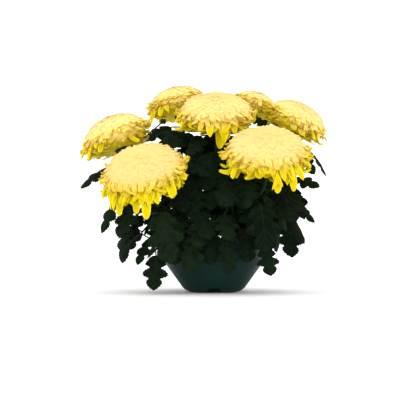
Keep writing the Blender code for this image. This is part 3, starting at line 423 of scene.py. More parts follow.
def radial(turn):
    return Vector((math.cos(turn), math.sin(turn), 0.0))


def compass(degrees):
    return radial(math.radians(degrees))


def side_of(turn):
    return Vector((-math.sin(turn), math.cos(turn), 0.0))


def outward(point):
    level = Vector((point.x, point.y, 0.0))
    return level.normalized() if level.length > MM else Vector((0.0, -1.0, 0.0))


def stem_foot(bloom):
    if bloom.name == "centre":
        return Vector((0.0, CENTRE_FOOT, SOIL_HEIGHT))
    foot = outward(Vector(bloom.middle) * MM) * STEM_RING
    return Vector((foot.x, foot.y, SOIL_HEIGHT))


def head_frame(bloom):
    lean = math.radians(bloom.lean)
    axis = UP * math.cos(lean) + compass(bloom.towards) * math.sin(lean)
    across = (Vector((1.0, 0.0, 0.0)) - axis * axis.x).normalized()
    frame = Matrix((across, axis.cross(across), axis)).transposed().to_4x4()
    frame.translation = Vector(bloom.middle) * MM
    return frame


def head_point(radius, polar, turn, share):
    depth = DOME_RISE if abs(polar) < math.pi / 2 else UNDERSIDE_DEPTH
    level = radius * share * math.sin(polar)
    return Vector((level * math.cos(turn), level * math.sin(turn), radius * share * depth * math.cos(polar)))


def cup_place(bloom):
    frame = head_frame(bloom)
    axis = frame.to_3x3() @ UP
    return frame.translation - axis * (bloom.radius * MM * CORE_FLOOR + GAP), axis


def stem_line(bloom):
    foot = stem_foot(bloom)
    top, axis = cup_place(bloom)
    end = top - axis * CUP_DEPTH * STEM_IN_CUP
    reach = (end - foot).length
    low = foot + UP * reach * STEM_RISE + outward(end) * reach * STEM_SPREAD
    return foot, low, end - axis * reach * STEM_APPROACH, end


def bloom_named(name):
    return next(bloom for bloom in BLOOMS if bloom.name == name)


def shoot_line(shoot):
    start = bezier(stem_line(bloom_named(shoot.stem)), shoot.share)
    end = Vector(shoot.end) * MM
    over = start.lerp(end, SHOOT_BEND)
    over.z = max(start.z, end.z) + shoot.rise * MM
    return start, over, end


def lines_of(bloom):
    return [stem_line(bloom)] + [shoot_line(shoot) for shoot in SHOOTS if shoot.stem == bloom.name]


def nearest_on_lines(bloom, point):
    spots = [bezier(line, step / ROOT_STEPS) for line in lines_of(bloom) for step in range(2, ROOT_STEPS + 1)]
    return min(spots, key=lambda spot: (spot - point).length + max(spot.z - point.z - HIGHER_ROOT, 0))


def shown_leaves():
    leaves = []
    for stem, rows in SHOWN_LEAVES.items():
        for base, tip, face, arch, width in rows:
            base = Vector(base) * MM
            root = nearest_on_lines(bloom_named(stem), base)
            leaves.append(Leaf(stem, root, base, Vector(tip) * MM, Vector(face), arch, width))
    return leaves


def grown_leaf(stem, root, way, chance, slack):
    turn = swing(chance, LEAF_TURN) * (1 + SLACK_TURN * slack)
    way = (Matrix.Rotation(turn, 3, "Z") @ way).normalized()
    rise = math.radians(chance.uniform(*STALK_RISE) - SLACK_RISE * slack * chance.random())
    stalk = chance.uniform(*STALK_LENGTH) * (1 + SLACK_STALK * slack * chance.random())
    base = root + (way * math.cos(rise) + UP * math.sin(rise)) * stalk
    length = chance.uniform(*BLADE_LENGTH) * (1 - SLACK_BLADE * slack)
    falls = HANGING_FALL if root.z < HANGING_BELOW else SPREADING_FALL
    fall = math.radians(chance.uniform(*falls) + chance.uniform(*SLACK_FALL) * slack)
    tip = base + (way * math.cos(fall) - UP * math.sin(fall)) * length
    face = UP * math.cos(fall) + way * math.sin(fall)
    face = Matrix.Rotation(swing(chance, LEAF_TWIST), 3, way) @ face
    return Leaf(stem, root, base, tip, face, chance.uniform(*BLADE_ARCH), chance.uniform(*BLADE_WIDTH))


def leaf_places():
    places = []
    for bloom in BLOOMS:
        for number, line in enumerate(lines_of(bloom)):
            spots = [bezier(line, step / LENGTH_STEPS) for step in range(LENGTH_STEPS + 1)]
            length = sum((after - before).length for before, after in zip(spots, spots[1:]))
            end = length - (BARE_NECK if number == 0 else 0)
            for index in range(int((end - FIRST_LEAF) // LEAF_SPACING) + 1):
                root = bezier(line, (FIRST_LEAF + index * LEAF_SPACING) / length)
                way = Matrix.Rotation(index * GOLDEN_ANGLE + number, 3, "Z") @ outward(root)
                places.append((bloom.name, root, (way + outward(root) * LEAF_OUTWARD).normalized()))
    return places


def grow_leaves(nodes):
    """The part's leaves. The rule draws each one as in the part's source, where some draws found no room: a
    draw is kept here where its stem's solid has a corner at the leaf's tip."""
    corners = {}
    for bloom in BLOOMS:
        vertices = nodes["stem_" + bloom.name].data.vertices
        corners[bloom.name] = KDTree(len(vertices))
        for vertex in vertices:
            corners[bloom.name].insert(vertex.co, vertex.index)
        corners[bloom.name].balance()

    def in_part(leaf):
        return corners[leaf.stem].find(leaf.tip)[2] < CORNER_MATCH

    leaves = [leaf for leaf in shown_leaves() if in_part(leaf)]
    for number, (stem, root, way) in enumerate(leaf_places()):
        chance = random.Random(SEED * 1000 + number)
        for attempt in range(TRIES):
            leaf = grown_leaf(stem, root, way, chance, attempt / TRIES)
            if in_part(leaf):
                leaves.append(leaf)
                break
    return leaves


# Meshes

class Shape:
    """Points, faces and point attributes of one piece, gathered from many small parts."""

    def __init__(self, *names):
        self.points = []
        self.faces = []
        self.materials = []
        self.values = {name: [] for name in names}
        self.count = 0

    def add(self, points, faces, material=0, **values):
        points = np.asarray(points, float)
        faces = np.asarray(faces, int)
        self.points.append(points)
        self.faces.append(faces + self.count)
        self.materials.append(np.full(len(faces), material))
        for name, gathered in self.values.items():
            gathered.append(np.broadcast_to(np.asarray(values.get(name, 0.0), float), (len(points),)))
        self.count += len(points)

    def finish(self, name, materials, node):
        mesh = bpy.data.meshes.new(name)
        faces = [tuple(face) for group in self.faces for face in group]
        mesh.from_pydata(np.concatenate(self.points), [], faces)
        mesh.polygons.foreach_set("use_smooth", np.ones(len(faces), bool))
        mesh.polygons.foreach_set("material_index", np.concatenate(self.materials).astype(np.int32))
        for value, gathered in self.values.items():
            layer = mesh.attributes.new(value, "FLOAT", "POINT")
            layer.data.foreach_set("value", np.concatenate(gathered).astype(np.float32))
        for material in materials:
            mesh.materials.append(material)
        mesh.update()
        mesh.set_sharp_from_angle(angle=SHARP_ANGLE)
        obj = bpy.data.objects.new(name, mesh)
        bpy.context.scene.collection.objects.link(obj)
        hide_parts(node)
        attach(obj, "root")


def unit(vectors):
    return vectors / np.linalg.norm(vectors, axis=-1, keepdims=True)


def curve_points(line, shares):
    """Points and headings of a Bezier curve at many shares at once."""
    rows = [np.broadcast_to(np.array(point, float), (len(shares), 3)) for point in line]
    share = np.asarray(shares, float)[:, None]
    while len(rows) > 2:
        rows = [a + (b - a) * share for a, b in zip(rows, rows[1:])]
    return rows[0] + (rows[1] - rows[0]) * share, unit(rows[1] - rows[0])


def ring_faces(rings, sides):
    """Triangles over rings of points, and to the two end points that follow them in the list."""
    faces = []
    for ring in range(rings - 1):
        for side in range(sides):
            a, b = ring * sides + side, ring * sides + (side + 1) % sides
            faces += [(a, b, b + sides), (a, b + sides, a + sides)]
    last, end = (rings - 1) * sides, rings * sides
    for side in range(sides):
        other = (side + 1) % sides
        faces += [(end, other, side), (end + 1, last + side, last + other)]
    return faces


def ball(rings, sides):
    """Points and triangles of a sphere of radius 1, from its lowest ring up."""
    points = []
    for ring in range(1, rings):
        turn = math.pi * ring / rings
        points += [tuple(compass(360 * side / sides) * math.sin(turn) - UP * math.cos(turn))
                   for side in range(sides)]
    return np.array(points + [(0.0, 0.0, -1.0), (0.0, 0.0, 1.0)]), ring_faces(rings - 1, sides)


def tube(path, radii, sides):
    """Points and triangles of a closed tube along a path."""
    path = np.asarray(path, float)
    radii = np.broadcast_to(np.asarray(radii, float), (len(path),))
    ways = unit(np.gradient(path, axis=0))
    normal = np.cross(ways[0], (0.3, 1.0, 0.2))
    normals = []
    for way in ways:
        normal = normal - way * normal.dot(way)
        normal = normal / np.linalg.norm(normal)
        normals.append(normal)
    normals = np.array(normals)
    across = np.cross(ways, normals)
    angles = np.arange(sides) * math.tau / sides
    ring = normals[:, None] * np.cos(angles)[:, None] + across[:, None] * np.sin(angles)[:, None]
    points = (path[:, None] + ring * radii[:, None, None]).reshape(-1, 3)
    return np.concatenate([points, path[[0, -1]]]), ring_faces(len(path), sides)


class BladePattern:
    """The faces of a closed blade with an upper grid and a lower one that share their edge."""

    def __init__(self, rows, columns):
        self.columns = columns
        index = np.arange(rows * columns).reshape(rows, columns)
        under = index.copy()
        inner = (rows - 2) * (columns - 2)
        under[1:-1, 1:-1] = np.arange(rows * columns, rows * columns + inner).reshape(rows - 2, columns - 2)
        faces = []
        for row in range(rows - 1):
            for column in range(columns - 1):
                cell = [(row, column), (row, column + 1), (row + 1, column + 1), (row + 1, column)]
                if (row, column) in ((0, columns - 2), (rows - 2, 0)):
                    # A corner cell is cut from its inner point, or both grids would hold the same triangle.
                    cell = cell[1:] + cell[:1]
                a, b, c, d = (index[corner] for corner in cell)
                faces += [(a, c, b), (a, d, c)]
                a, b, c, d = (under[corner] for corner in cell)
                faces += [(a, b, c), (a, c, d)]
        self.faces = np.array(faces)

    def points(self, upper, lower):
        return np.concatenate([upper.reshape(-1, 3), lower[1:-1, 1:-1].reshape(-1, 3)])

    def values(self, upper):
        return np.concatenate([upper.reshape(-1), upper[1:-1, 1:-1].reshape(-1)])


PETAL = BladePattern(len(PETAL_PROFILE), 3)
SKIRT = BladePattern(len(SKIRT_PROFILE), 5)
STRAP = BladePattern(len(STRAP_PROFILE), 7)
BRACT = BladePattern(len(BRACT_PROFILE), 3)


def add_blade(shape, pattern, line, side, width, profile, channel, thickness, material=0, **values):
    """A petal or bract along its line: width follows the profile and channel lifts its edges."""
    shares = np.array([share for share, _ in profile])
    half = np.array([part for _, part in profile]) * width / 2
    across = np.linspace(-1.0, 1.0, pattern.columns)
    spots, ways = curve_points(line, shares)
    side = np.asarray(side, float)
    upper = unit(np.cross(ways, side))
    reach = half[:, None] * across
    lift = channel * half[:, None] * across ** 2
    top = spots[:, None] + side * reach[..., None] + upper[:, None] * lift[..., None]
    low = top - (upper * thickness)[:, None]
    along = np.broadcast_to(shares[:, None], top.shape[:2])
    sides = np.broadcast_to(across, top.shape[:2])
    shape.add(pattern.points(top, low), pattern.faces, material,
              along=pattern.values(along), across=pattern.values(sides), **values)


# Leaves

def distance_to(points, starts, ends):
    """Distance of each point from the nearest of the segments."""
    way = ends - starts
    offset = points[:, None] - starts
    share = np.clip((offset * way).sum(-1) / (way ** 2).sum(-1), 0.0, 1.0)
    return np.linalg.norm(offset - way * share[..., None], axis=-1).min(axis=1)


def inside(points, outline):
    a, b = outline, np.roll(outline, -1, axis=0)
    x, y = points[:, :1], points[:, 1:]
    crosses = (a[:, 1] > y) != (b[:, 1] > y)
    step = np.where(b[:, 1] == a[:, 1], 1.0, b[:, 1] - a[:, 1])
    return (crosses & (x < a[:, 0] + (y - a[:, 1]) * (b[:, 0] - a[:, 0]) / step)).sum(axis=1) % 2 == 1


def smoothed(points, steps):
    """A closed curve through the points."""
    points = np.array(points)
    before, after, beyond = np.roll(points, 1, 0), np.roll(points, -1, 0), np.roll(points, -2, 0)
    rows = []
    for step in range(steps):
        t = step / steps
        square, cube = 2 * before - 5 * points + 4 * after - beyond, 3 * points - before - 3 * after + beyond
        rows.append(0.5 * (2 * points + (after - before) * t + square * t * t + cube * t ** 3))
    return np.stack(rows, axis=1).reshape(-1, 2)


class LeafPattern:
    """A lobed leaf filled with triangles that follow its veins, in shares of its length: across and along."""

    HALF_WIDTH = 0.41
    GROWTH = (0.93, 1.0)
    ACROSS_JITTER, ALONG_JITTER = 0.012, 0.007
    SPACING, ROW_SHARE, COLUMNS = 0.046, 0.87, 12
    CLEAR_OF_EDGE, CLEAR_OF_VEINS = 0.45, 0.4
    MIDRIB, MIDRIB_STEPS = ((0.0, 0.02), (0.0, 0.965)), 20
    VEIN_STEPS, SIDE_VEIN_STEPS = 7, 3
    VEIN_BOW = 0.03

    def __init__(self, chance):
        halves = []
        for sign in (1, -1):
            grow = sign * chance.uniform(*self.GROWTH)
            halves.append([(grow * (across + swing(chance, self.ACROSS_JITTER)),
                            along + swing(chance, self.ALONG_JITTER))
                           for across, along in HALF_OUTLINE])
        outline = smoothed([(0.0, -0.004)] + halves[0] + [(0.0, 1.0)] + halves[1][::-1], 2)
        outline[:, 0] *= self.HALF_WIDTH
        places = [tuple(point) for point in outline]
        edges = []
        midrib = self.add_line(places, edges, None, *self.MIDRIB, self.MIDRIB_STEPS)
        for sign in (1, -1):
            veins = []
            for parent, share, end in HALF_VEINS:
                line = midrib if parent is None else veins[parent]
                start = line[round(share * (len(line) - 1))]
                end = (sign * end[0] * self.HALF_WIDTH, end[1])
                steps = self.VEIN_STEPS if parent is None else self.SIDE_VEIN_STEPS
                veins.append(self.add_line(places, edges, start, places[start], end, steps))
        starts = np.array([places[a] for a, _ in edges])
        ends = np.array([places[b] for _, b in edges])
        grid = np.array([((column + 0.5 * (row % 2)) * self.SPACING, row * self.SPACING * self.ROW_SHARE)
                         for row in range(int(1 / self.SPACING) + 2)
                         for column in range(-self.COLUMNS, self.COLUMNS + 1)])
        grid = grid[inside(grid, outline)]
        after = np.roll(outline, -1, axis=0)
        clear = distance_to(grid, outline, after) > self.CLEAR_OF_EDGE * self.SPACING
        clear &= distance_to(grid, starts, ends) > self.CLEAR_OF_VEINS * self.SPACING
        places += [tuple(point) for point in grid[clear]]
        border = [list(range(len(outline)))]
        made = delaunay_2d_cdt([Vector(place) for place in places], edges, border, 1, 1e-6)
        self.places = np.array(made[0])
        self.triangles = np.array([face for face in made[2] if len(face) == 3])
        self.from_vein = distance_to(self.places, starts, ends)
        self.from_edge = distance_to(self.places, outline, after)
        sides = dict.fromkeys(pair for a, b, c in self.triangles for pair in ((a, b), (b, c), (c, a)))
        self.border = np.array([(a, b) for a, b in sides if (b, a) not in sides])

    def add_line(self, places, edges, first, start, end, steps):
        """Adds a vein's points and edges and returns the indices of its points."""
        bow = self.VEIN_BOW * abs(end[0] - start[0])
        line = [] if first is None else [first]
        for step in range(len(line), steps + 1):
            share = step / steps
            places.append((start[0] + (end[0] - start[0]) * share,
                           start[1] + (end[1] - start[1]) * share - bow * math.sin(math.pi * share)))
            line.append(len(places) - 1)
        edges.extend(zip(line, line[1:]))
        return line


def add_leaf(shape, leaf, pattern, chance):
    """A blade with puffed fields between its veins, and its stalk, which runs on below as the midrib."""
    along = leaf.tip - leaf.base
    length = along.length
    face = (leaf.face - along * leaf.face.dot(along) / along.length_squared).normalized()
    middle = leaf.base.lerp(leaf.tip, 0.5) + face * leaf.arch * length
    side = np.array(along.cross(face).normalized())
    line = (leaf.base, middle, leaf.tip)
    across = pattern.places[:, 0] / pattern.HALF_WIDTH
    spots, ways = curve_points(line, pattern.places[:, 1])
    upper = unit(np.cross(side, ways))
    reach = across * leaf.width * length / 2
    fold = np.hypot(reach, FOLD_ROUNDING) - FOLD_ROUNDING
    puff = 1 - np.exp(-(pattern.from_vein / PUFF_FROM_VEIN) ** 2)
    rim = np.clip(pattern.from_edge / PUFF_FROM_EDGE, 0.0, 1.0)
    waves = chance.uniform(*WAVES_PER_BLADE) * pattern.places[:, 1] + chance.random()
    wave = np.sin(math.tau * waves) * np.abs(across) ** 1.5
    rise = PUFF * puff * rim + WAVE * wave - fold * LEAF_FOLD
    top = spots + side * reach[:, None] + upper * rise[:, None]
    low = top - upper * BLADE_THICKNESS
    count = len(top)
    first, second = pattern.border.T
    edge = [np.stack(corners, axis=1) for corners in
            ((second, first, first + count), (second, first + count, second + count))]
    faces = np.concatenate([pattern.triangles, pattern.triangles[:, ::-1] + count, *edge])
    a, b, c = top[pattern.triangles[0]]
    if np.dot(np.cross(b - a, c - a), upper[0]) < 0:
        faces = faces[:, ::-1]
    tone = chance.random()
    vein = np.clip(pattern.from_vein * length / VEIN_REACH, 0.0, 1.0)
    shape.add(np.concatenate([top, low]), faces, LEAF, vein=np.concatenate([vein, vein]), tone=tone,
              under=np.repeat([0.0, 1.0], count))
    shares = np.linspace(0.0, MIDRIB_END, MIDRIB_STEPS)
    spots, ways = curve_points(line, shares)
    below = spots - unit(np.cross(side, ways)) * (BLADE_THICKNESS + MIDRIB_BELOW)
    lift = np.array(UP) * chance.uniform(*STALK_BOW) * MM
    stalk = []
    for step in range(STALK_STEPS):
        spot = leaf.root.lerp(leaf.base, step / STALK_STEPS)
        stalk.append(np.array(spot) + lift * math.sin(math.pi * step / STALK_STEPS))
    radii = np.concatenate([np.linspace(STALK_BASE, 1.0, STALK_STEPS), 1 - MIDRIB_TAPER * shares])
    points, faces = tube(np.concatenate([stalk, below]), radii * STALK_RADIUS, STALK_SIDES)
    shape.add(points, faces, STALK, tone=tone, under=1.0, vein=1.0)


# Stems, cups and buds

def add_stem(shape, path, radii, sides):
    points, faces = tube(path, radii, sides)
    shape.add(points, faces, STEM, tone=0.5)


def bract_rows(rows, chance, jitter):
    """For each bract of the rows, where it starts and ends and its turn round the middle."""
    for row, (low, high, count) in enumerate(rows):
        for i in range(count):
            yield low, high, math.tau * (i + 0.5 * (row % 2)) / count + swing(chance, jitter)


def add_cup(shape, bloom, chance):
    """The green cup under a head: a smooth bowl under rows of pointed bracts."""
    top, axis = cup_place(bloom)
    frame = Matrix.Translation(top) @ axis.to_track_quat("Z", "X").to_matrix().to_4x4()
    points = [radial(math.tau * i / CUP_SIDES) * radius * CUP_RADIUS + UP * height * CUP_DEPTH
              for radius, height in CUP_PROFILE for i in range(CUP_SIDES)]
    points += [-UP * CUP_DEPTH, UP * 0.0]
    shape.add([frame @ point for point in points], ring_faces(len(CUP_PROFILE), CUP_SIDES), STEM, tone=0.6)
    for low, high, turn in bract_rows(CUP_BRACTS, chance, 0.08):
        line = []
        for share in (low, (low + high) / 2, high):
            out = CUP_RADIUS * (0.50 + 0.46 * (1 + share) ** 0.7)
            line.append(frame @ (radial(turn) * out + UP * share * CUP_DEPTH))
        side = frame.to_3x3() @ side_of(turn)
        add_blade(shape, BRACT, line, side, CUP_BRACT_BREADTH, BRACT_PROFILE, -0.25, 0.4 * MM, STEM,
                  tone=0.35)


def add_bud(shape, bud, chance):
    """A round green bud wrapped in bracts, with a trace of yellow at its tip, on a thin stalk."""
    middle = Vector(bud.middle) * MM
    root = nearest_on_lines(bloom_named(bud.stem), middle - UP * BUD_STALK)
    line = (root, root.lerp(middle, 0.6) - UP * 4 * MM, middle)
    add_stem(shape, curve_points(line, np.linspace(0.0, 1.0, 9))[0], SHOOT_RADIUS * 0.6, 8)
    points, faces = ball(BUD_RINGS, BUD_SIDES)
    shape.add(points * BUD_RADIUS * BUD_CORE + np.array(middle), faces, STEM,
              tone=np.where(points[:, 2] > BUD_YELLOW, 1.0, 0.4))
    for low, high, turn in bract_rows(BUD_BRACTS, chance, 0.1):
        line = []
        for angle, size in ((low, 0.97), ((low + high) / 2, 1.18), (high, 0.97)):
            line.append(middle + (radial(turn) * math.cos(angle) + UP * math.sin(angle)) * BUD_RADIUS * size)
        add_blade(shape, BRACT, line, side_of(turn), BUD_BRACT_BREADTH, BRACT_PROFILE, -0.3, 0.3 * MM, STEM,
                  tone=0.3)


def make_plant_stem(bloom, leaves, patterns, materials):
    chance = random.Random(bloom.name)
    shape = Shape("vein", "under", "tone")
    line = stem_line(bloom)
    shares = np.linspace(0.0, 1.0, STEM_STEPS)
    foot = np.array(line[0] - UP * (HOLE_DEPTH - GAP))
    swell = 1 + NODE_SWELL * np.sin(shares * NODE_WAVES) ** NODE_SHARPNESS
    radii = STEM_RADIUS * np.concatenate([[1.0], (1 - (1 - STEM_TOP_SHARE) * shares) * swell])
    add_stem(shape, np.concatenate([[foot], curve_points(line, shares)[0]]), radii * STEM_INSET, STEM_SIDES)
    shares = np.linspace(0.0, 1.0, SHOOT_STEPS)
    for line in lines_of(bloom)[1:]:
        add_stem(shape, curve_points(line, shares)[0], SHOOT_RADIUS * (1 - SHOOT_TAPER * shares), SHOOT_SIDES)
    add_cup(shape, bloom, chance)
    for bud in BUDS:
        if bud.stem == bloom.name:
            add_bud(shape, bud, chance)
    for leaf in leaves:
        if leaf.stem == bloom.name:
            add_leaf(shape, leaf, chance.choice(patterns), chance)
    shape.finish("plant_" + bloom.name, materials, "stem_" + bloom.name)


# Flower heads

def front_of(bloom):
    """Direction of the plant's front in the head's frame."""
    return head_frame(bloom).to_3x3().inverted() @ Vector((0.0, -1.0, 0.0))


def down_of(bloom):
    """Direction straight down in the head's frame."""
    return head_frame(bloom).to_3x3().inverted() @ -UP


def inset(height):
    """The share of its size that a head keeps at that height of a unit ball: it draws in down to the rim."""
    polar = math.acos(max(-1.0, min(1.0, height)))
    return 1 - RIM_INSET * min(1.0, polar / DOME_END) ** 3


def dome_petals(bloom, chance):
    """Curves of the petals over the head, like scales round a point that is turned a little to the front."""
    radius = bloom.radius * MM
    count = round(DOME_PETALS * (bloom.radius / FULL_RADIUS) ** 2)
    front = front_of(bloom)
    turned_dome = Matrix.Rotation(DOME_TURN, 3, UP.cross(front))
    phase = chance.uniform(0, math.tau)

    def way_of(polar, turn):
        level = math.sin(polar)
        return turned_dome @ Vector((level * math.cos(turn), level * math.sin(turn), math.cos(polar)))

    def spot(polar, turn, size, share):
        way = way_of(polar, turn)
        depth = DOME_RISE if way.z > 0 else UNDERSIDE_DEPTH
        size *= share * inset(way.z)
        return Vector((way.x * size, way.y * size, way.z * size * depth))

    for index in range(count):
        polar = math.acos(1 - (index + 0.5) / count * (1 - math.cos(DOME_END)))
        turn = index * GOLDEN_ANGLE + swing(chance, 0.1)
        outer = (polar / DOME_END) ** 3
        polar += DOME_UNEVEN * outer * math.sin(5 * turn + phase)
        size = radius * chance.uniform(*DOME_SIZE)
        lead = PETAL_LENGTH * chance.uniform(*LENGTH_SPREAD) / radius
        lift = chance.uniform(*DOME_TIP)
        if chance.random() < LIFTED_PETALS + LIFTED_OUTER * outer:
            lift = chance.uniform(*LIFTED_TIP)
        edge = max(0.0, min(1.0, 1 - front.dot(way_of(polar, turn)) / EDGE_REACH))
        lift += EDGE_LIFT * chance.uniform(0.2, 1.0) * edge
        root = spot(polar - lead * 1.1, turn, size, DOME_ROOT)
        over = spot(polar - lead * 0.4, turn, size, 1.0)
        tip = spot(polar, turn + swing(chance, 0.06), size, lift)
        breadth = PETAL_BREADTH * min(1.0, TOP_BREADTH + 0.4 * polar) * (1 - EDGE_NARROWING * edge)
        clear = NEVER_CLEAR - OUTER_CLEAR * outer
        yield (root, over, tip), turned_dome @ side_of(turn), breadth, DOME_CHANNEL, clear


def hang(bloom, turn):
    """1 for a petal at the lowest place of the rim, -1 for one at the highest."""
    down = down_of(bloom)
    return (math.cos(turn) * down.x + math.sin(turn) * down.y) / math.sin(math.radians(bloom.lean))


def waved(sizes, waves, turn, phase):
    """How much further out than others a ray reaches, in slow and quick waves round the head."""
    return sizes[0] * math.sin(3 * turn + phase) + sizes[1] * math.sin(waves * turn + 2 * phase)


def rim_petals(bloom, chance):
    """Curves of the rays round the widest part, which turn up at the sides and droop on the low side."""
    radius = bloom.radius * MM
    count = round(RIM_PETALS * bloom.radius / FULL_RADIUS)
    phase = chance.uniform(0, math.tau)
    for index in range(count):
        polar = RIM_START + (RIM_END - RIM_START) * (index + 0.5) / count
        turn = index * GOLDEN_ANGLE + RIM_TURN + swing(chance, 0.1)
        droop = max(0.0, hang(bloom, turn))
        aside = math.cos(turn) ** 2
        spread = 0.05 * aside
        root = head_point(radius, polar * 0.74, turn, 0.84)
        over = head_point(radius, polar * (1.0 + spread), turn, chance.uniform(0.93, 0.98) + spread)
        uneven = waved(RIM_UNEVEN, 7, turn, phase)
        is_long = chance.random() < LONG_RAYS
        reaches, widths, channel = LONG_RAY if is_long else SHORT_RAY
        reach, width = chance.uniform(*reaches), chance.uniform(*widths)
        if is_long:
            channel += 0.4 * aside
        slant = 0.1 + 0.2 * droop
        tip = head_point(radius, polar + 0.06 * droop - 0.20 * aside + swing(chance, 0.1),
                         turn + swing(chance, slant), reach + spread + uneven)
        yield (root, over, tip), side_of(turn), RIM_BREADTH * width, channel, 0.45 + 0.2 * droop


def skirt_petals(bloom, chance):
    """Curves of the outer rows below, which reach out and turn down round the head."""
    radius = bloom.radius * MM
    count = round(SKIRT_PETALS * bloom.radius / FULL_RADIUS)
    phase = chance.uniform(0, math.tau)
    for index in range(count):
        polar = RIM_END + (LOWEST_PETAL - RIM_END) * (index + 0.5) / count
        turn = index * GOLDEN_ANGLE + SKIRT_TURN + swing(chance, 0.12)
        size = radius * chance.uniform(*SKIRT_SIZE)
        root = head_point(size, polar * 0.80, turn, PETAL_ROOT)
        over = head_point(size, polar * 0.93, turn, chance.uniform(0.90, 1.0))
        uneven = waved(SKIRT_UNEVEN, 8, turn, phase)
        tip = head_point(size, polar - chance.uniform(0.04, 0.28), turn + swing(chance, 0.2),
                         chance.uniform(0.94, 1.06) + uneven)
        breadth = SKIRT_BREADTH * chance.uniform(*SKIRT_WIDTH)
        yield (root, over, tip), side_of(turn), breadth, SKIRT_CHANNEL, SKIRT_CLEAR


def under_petals(bloom, chance):
    """Curves of the petals that close the head's underside, from the cup out to the skirt."""
    radius = bloom.radius * MM
    for index in range(round(UNDER_PETALS * bloom.radius / FULL_RADIUS)):
        turn = index * GOLDEN_ANGLE + UNDER_TURN
        out = radial(turn) * radius
        reach = chance.uniform(*UNDER_REACH)
        root = out * 0.14 - UP * radius * (CORE_FLOOR + 0.005)
        over = out * 0.50 - UP * radius * (CORE_FLOOR + chance.uniform(0.02, 0.09))
        tip = out * reach - UP * radius * chance.uniform(0.16, 0.38)
        breadth = UNDER_BREADTH * chance.uniform(0.9, 1.1)
        yield (root, over, tip), side_of(turn), breadth, UNDER_CHANNEL, ALL_CLEAR


def strap_petals(bloom):
    """Curves of the single long petals, as in the part's source."""
    down = down_of(bloom)
    for degrees, reach, drop, width in bloom.straps:
        turn = math.radians(degrees)
        out, fall = radial(turn) * reach, down * drop
        root = head_point(bloom.radius * MM, STRAP_START, turn, PETAL_ROOT)
        over = out * 0.90 * MM + fall * 0.05 * MM
        yield (root, over, out * MM + fall * MM), side_of(turn), width * MM, STRAP_CHANNEL, STRAP_CLEAR


def strap_fellows(bloom, chance):
    """Curves of the shorter petals beside each strap, which join it to the rim."""
    down = down_of(bloom)
    for degrees, _, drop, width in bloom.straps:
        for offset in STRAP_FELLOWS:
            turn = math.radians(degrees) + offset + swing(chance, 0.05)
            out = radial(turn) * (bloom.radius * MM * chance.uniform(*FELLOW_REACH))
            fall = drop * MM * chance.uniform(*FELLOW_FALL) + 2 * MM
            slant = side_of(turn) * fall * swing(chance, 0.7)
            root = head_point(bloom.radius * MM, STRAP_START, turn, PETAL_ROOT)
            curve = root, out + down * fall * 0.05, out + down * fall + slant
            breadth = width * chance.uniform(*FELLOW_WIDTH) * MM
            yield curve, side_of(turn), breadth, FELLOW_CHANNEL, FELLOW_CLEAR


def boat_petals(bloom):
    """Curves of the few large hollow petals that lie sideways under the rim."""
    down = down_of(bloom)
    lowest = math.atan2(down.y, down.x)
    radius = bloom.radius * MM
    for degrees, reach, width in BOATS.get(bloom.name, ()):
        turn = lowest + math.radians(degrees)
        turns = turn, turn, turn + math.copysign(BOAT_SLANT, degrees)
        shares = PETAL_ROOT, BOAT_BELLY, reach
        curve = [head_point(radius, *place) for place in zip(BOAT_PLACES, turns, shares)]
        yield curve, side_of(turn), width * MM, BOAT_CHANNEL, BOAT_CLEAR


def down_the_dome(points, start, end):
    """From 0 within start degrees of the top of a head to 1 past end degrees."""
    level = np.linalg.norm(points[:, :2], axis=1)
    polar = np.degrees(np.arctan2(level, points[:, 2] / DOME_RISE))
    share = np.clip((polar - start) / (end - start), 0.0, 1.0)
    return share * share * (3 - 2 * share)


def head_core(radius):
    """A closed body under the petals, flat below, where the cup is."""
    points, faces = ball(CORE_RINGS, CORE_SIDES)
    core = []
    for x, y, z in points:
        depth = DOME_RISE if z > 0 else UNDERSIDE_DEPTH
        size = radius * (CORE_SHARE + CORE_TUCK * min(0.0, max(CORE_TUCKED, z))) * inset(z)
        core.append((x * size, y * size, max(z * size * depth, -radius * CORE_FLOOR)))
    return core, faces


def set_tones(shape, bloom):
    """Where a head's petals turn clear yellow, by their place on it and by each petal's own length. The cream
    above that line is painted light, placed per head by how the head faces the front, and so is the lighter
    cream of the shaded flanks.
    """
    clear = shape.values.pop("clear")
    front = front_of(bloom)
    from_the_side = min(1.0, max(0.0, 1 - 2 * front.z))
    turned = np.array(Matrix.Rotation(TONE_TURN * from_the_side, 3, UP.cross(front)))
    # Painted light: the cream reaches lower on heads that face the front.
    start = TONE_START - TONE_EARLIER * (1 - from_the_side)
    shape.values["flank"], shape.values["tone"] = [], []
    for points, along, first in zip(shape.points, shape.values["along"], clear):
        # Painted light: the shaded flanks of heads seen from the side get a lighter cream.
        shape.values["flank"].append(from_the_side * down_the_dome(points, PAINTED_FLANK_START, PAINTED_FLANK_END))
        tip = np.clip((along - first) / CLEAR_REACH, 0.0, 1.0)
        shape.values["tone"].append(np.maximum(down_the_dome(points @ turned, start, TONE_END), tip))


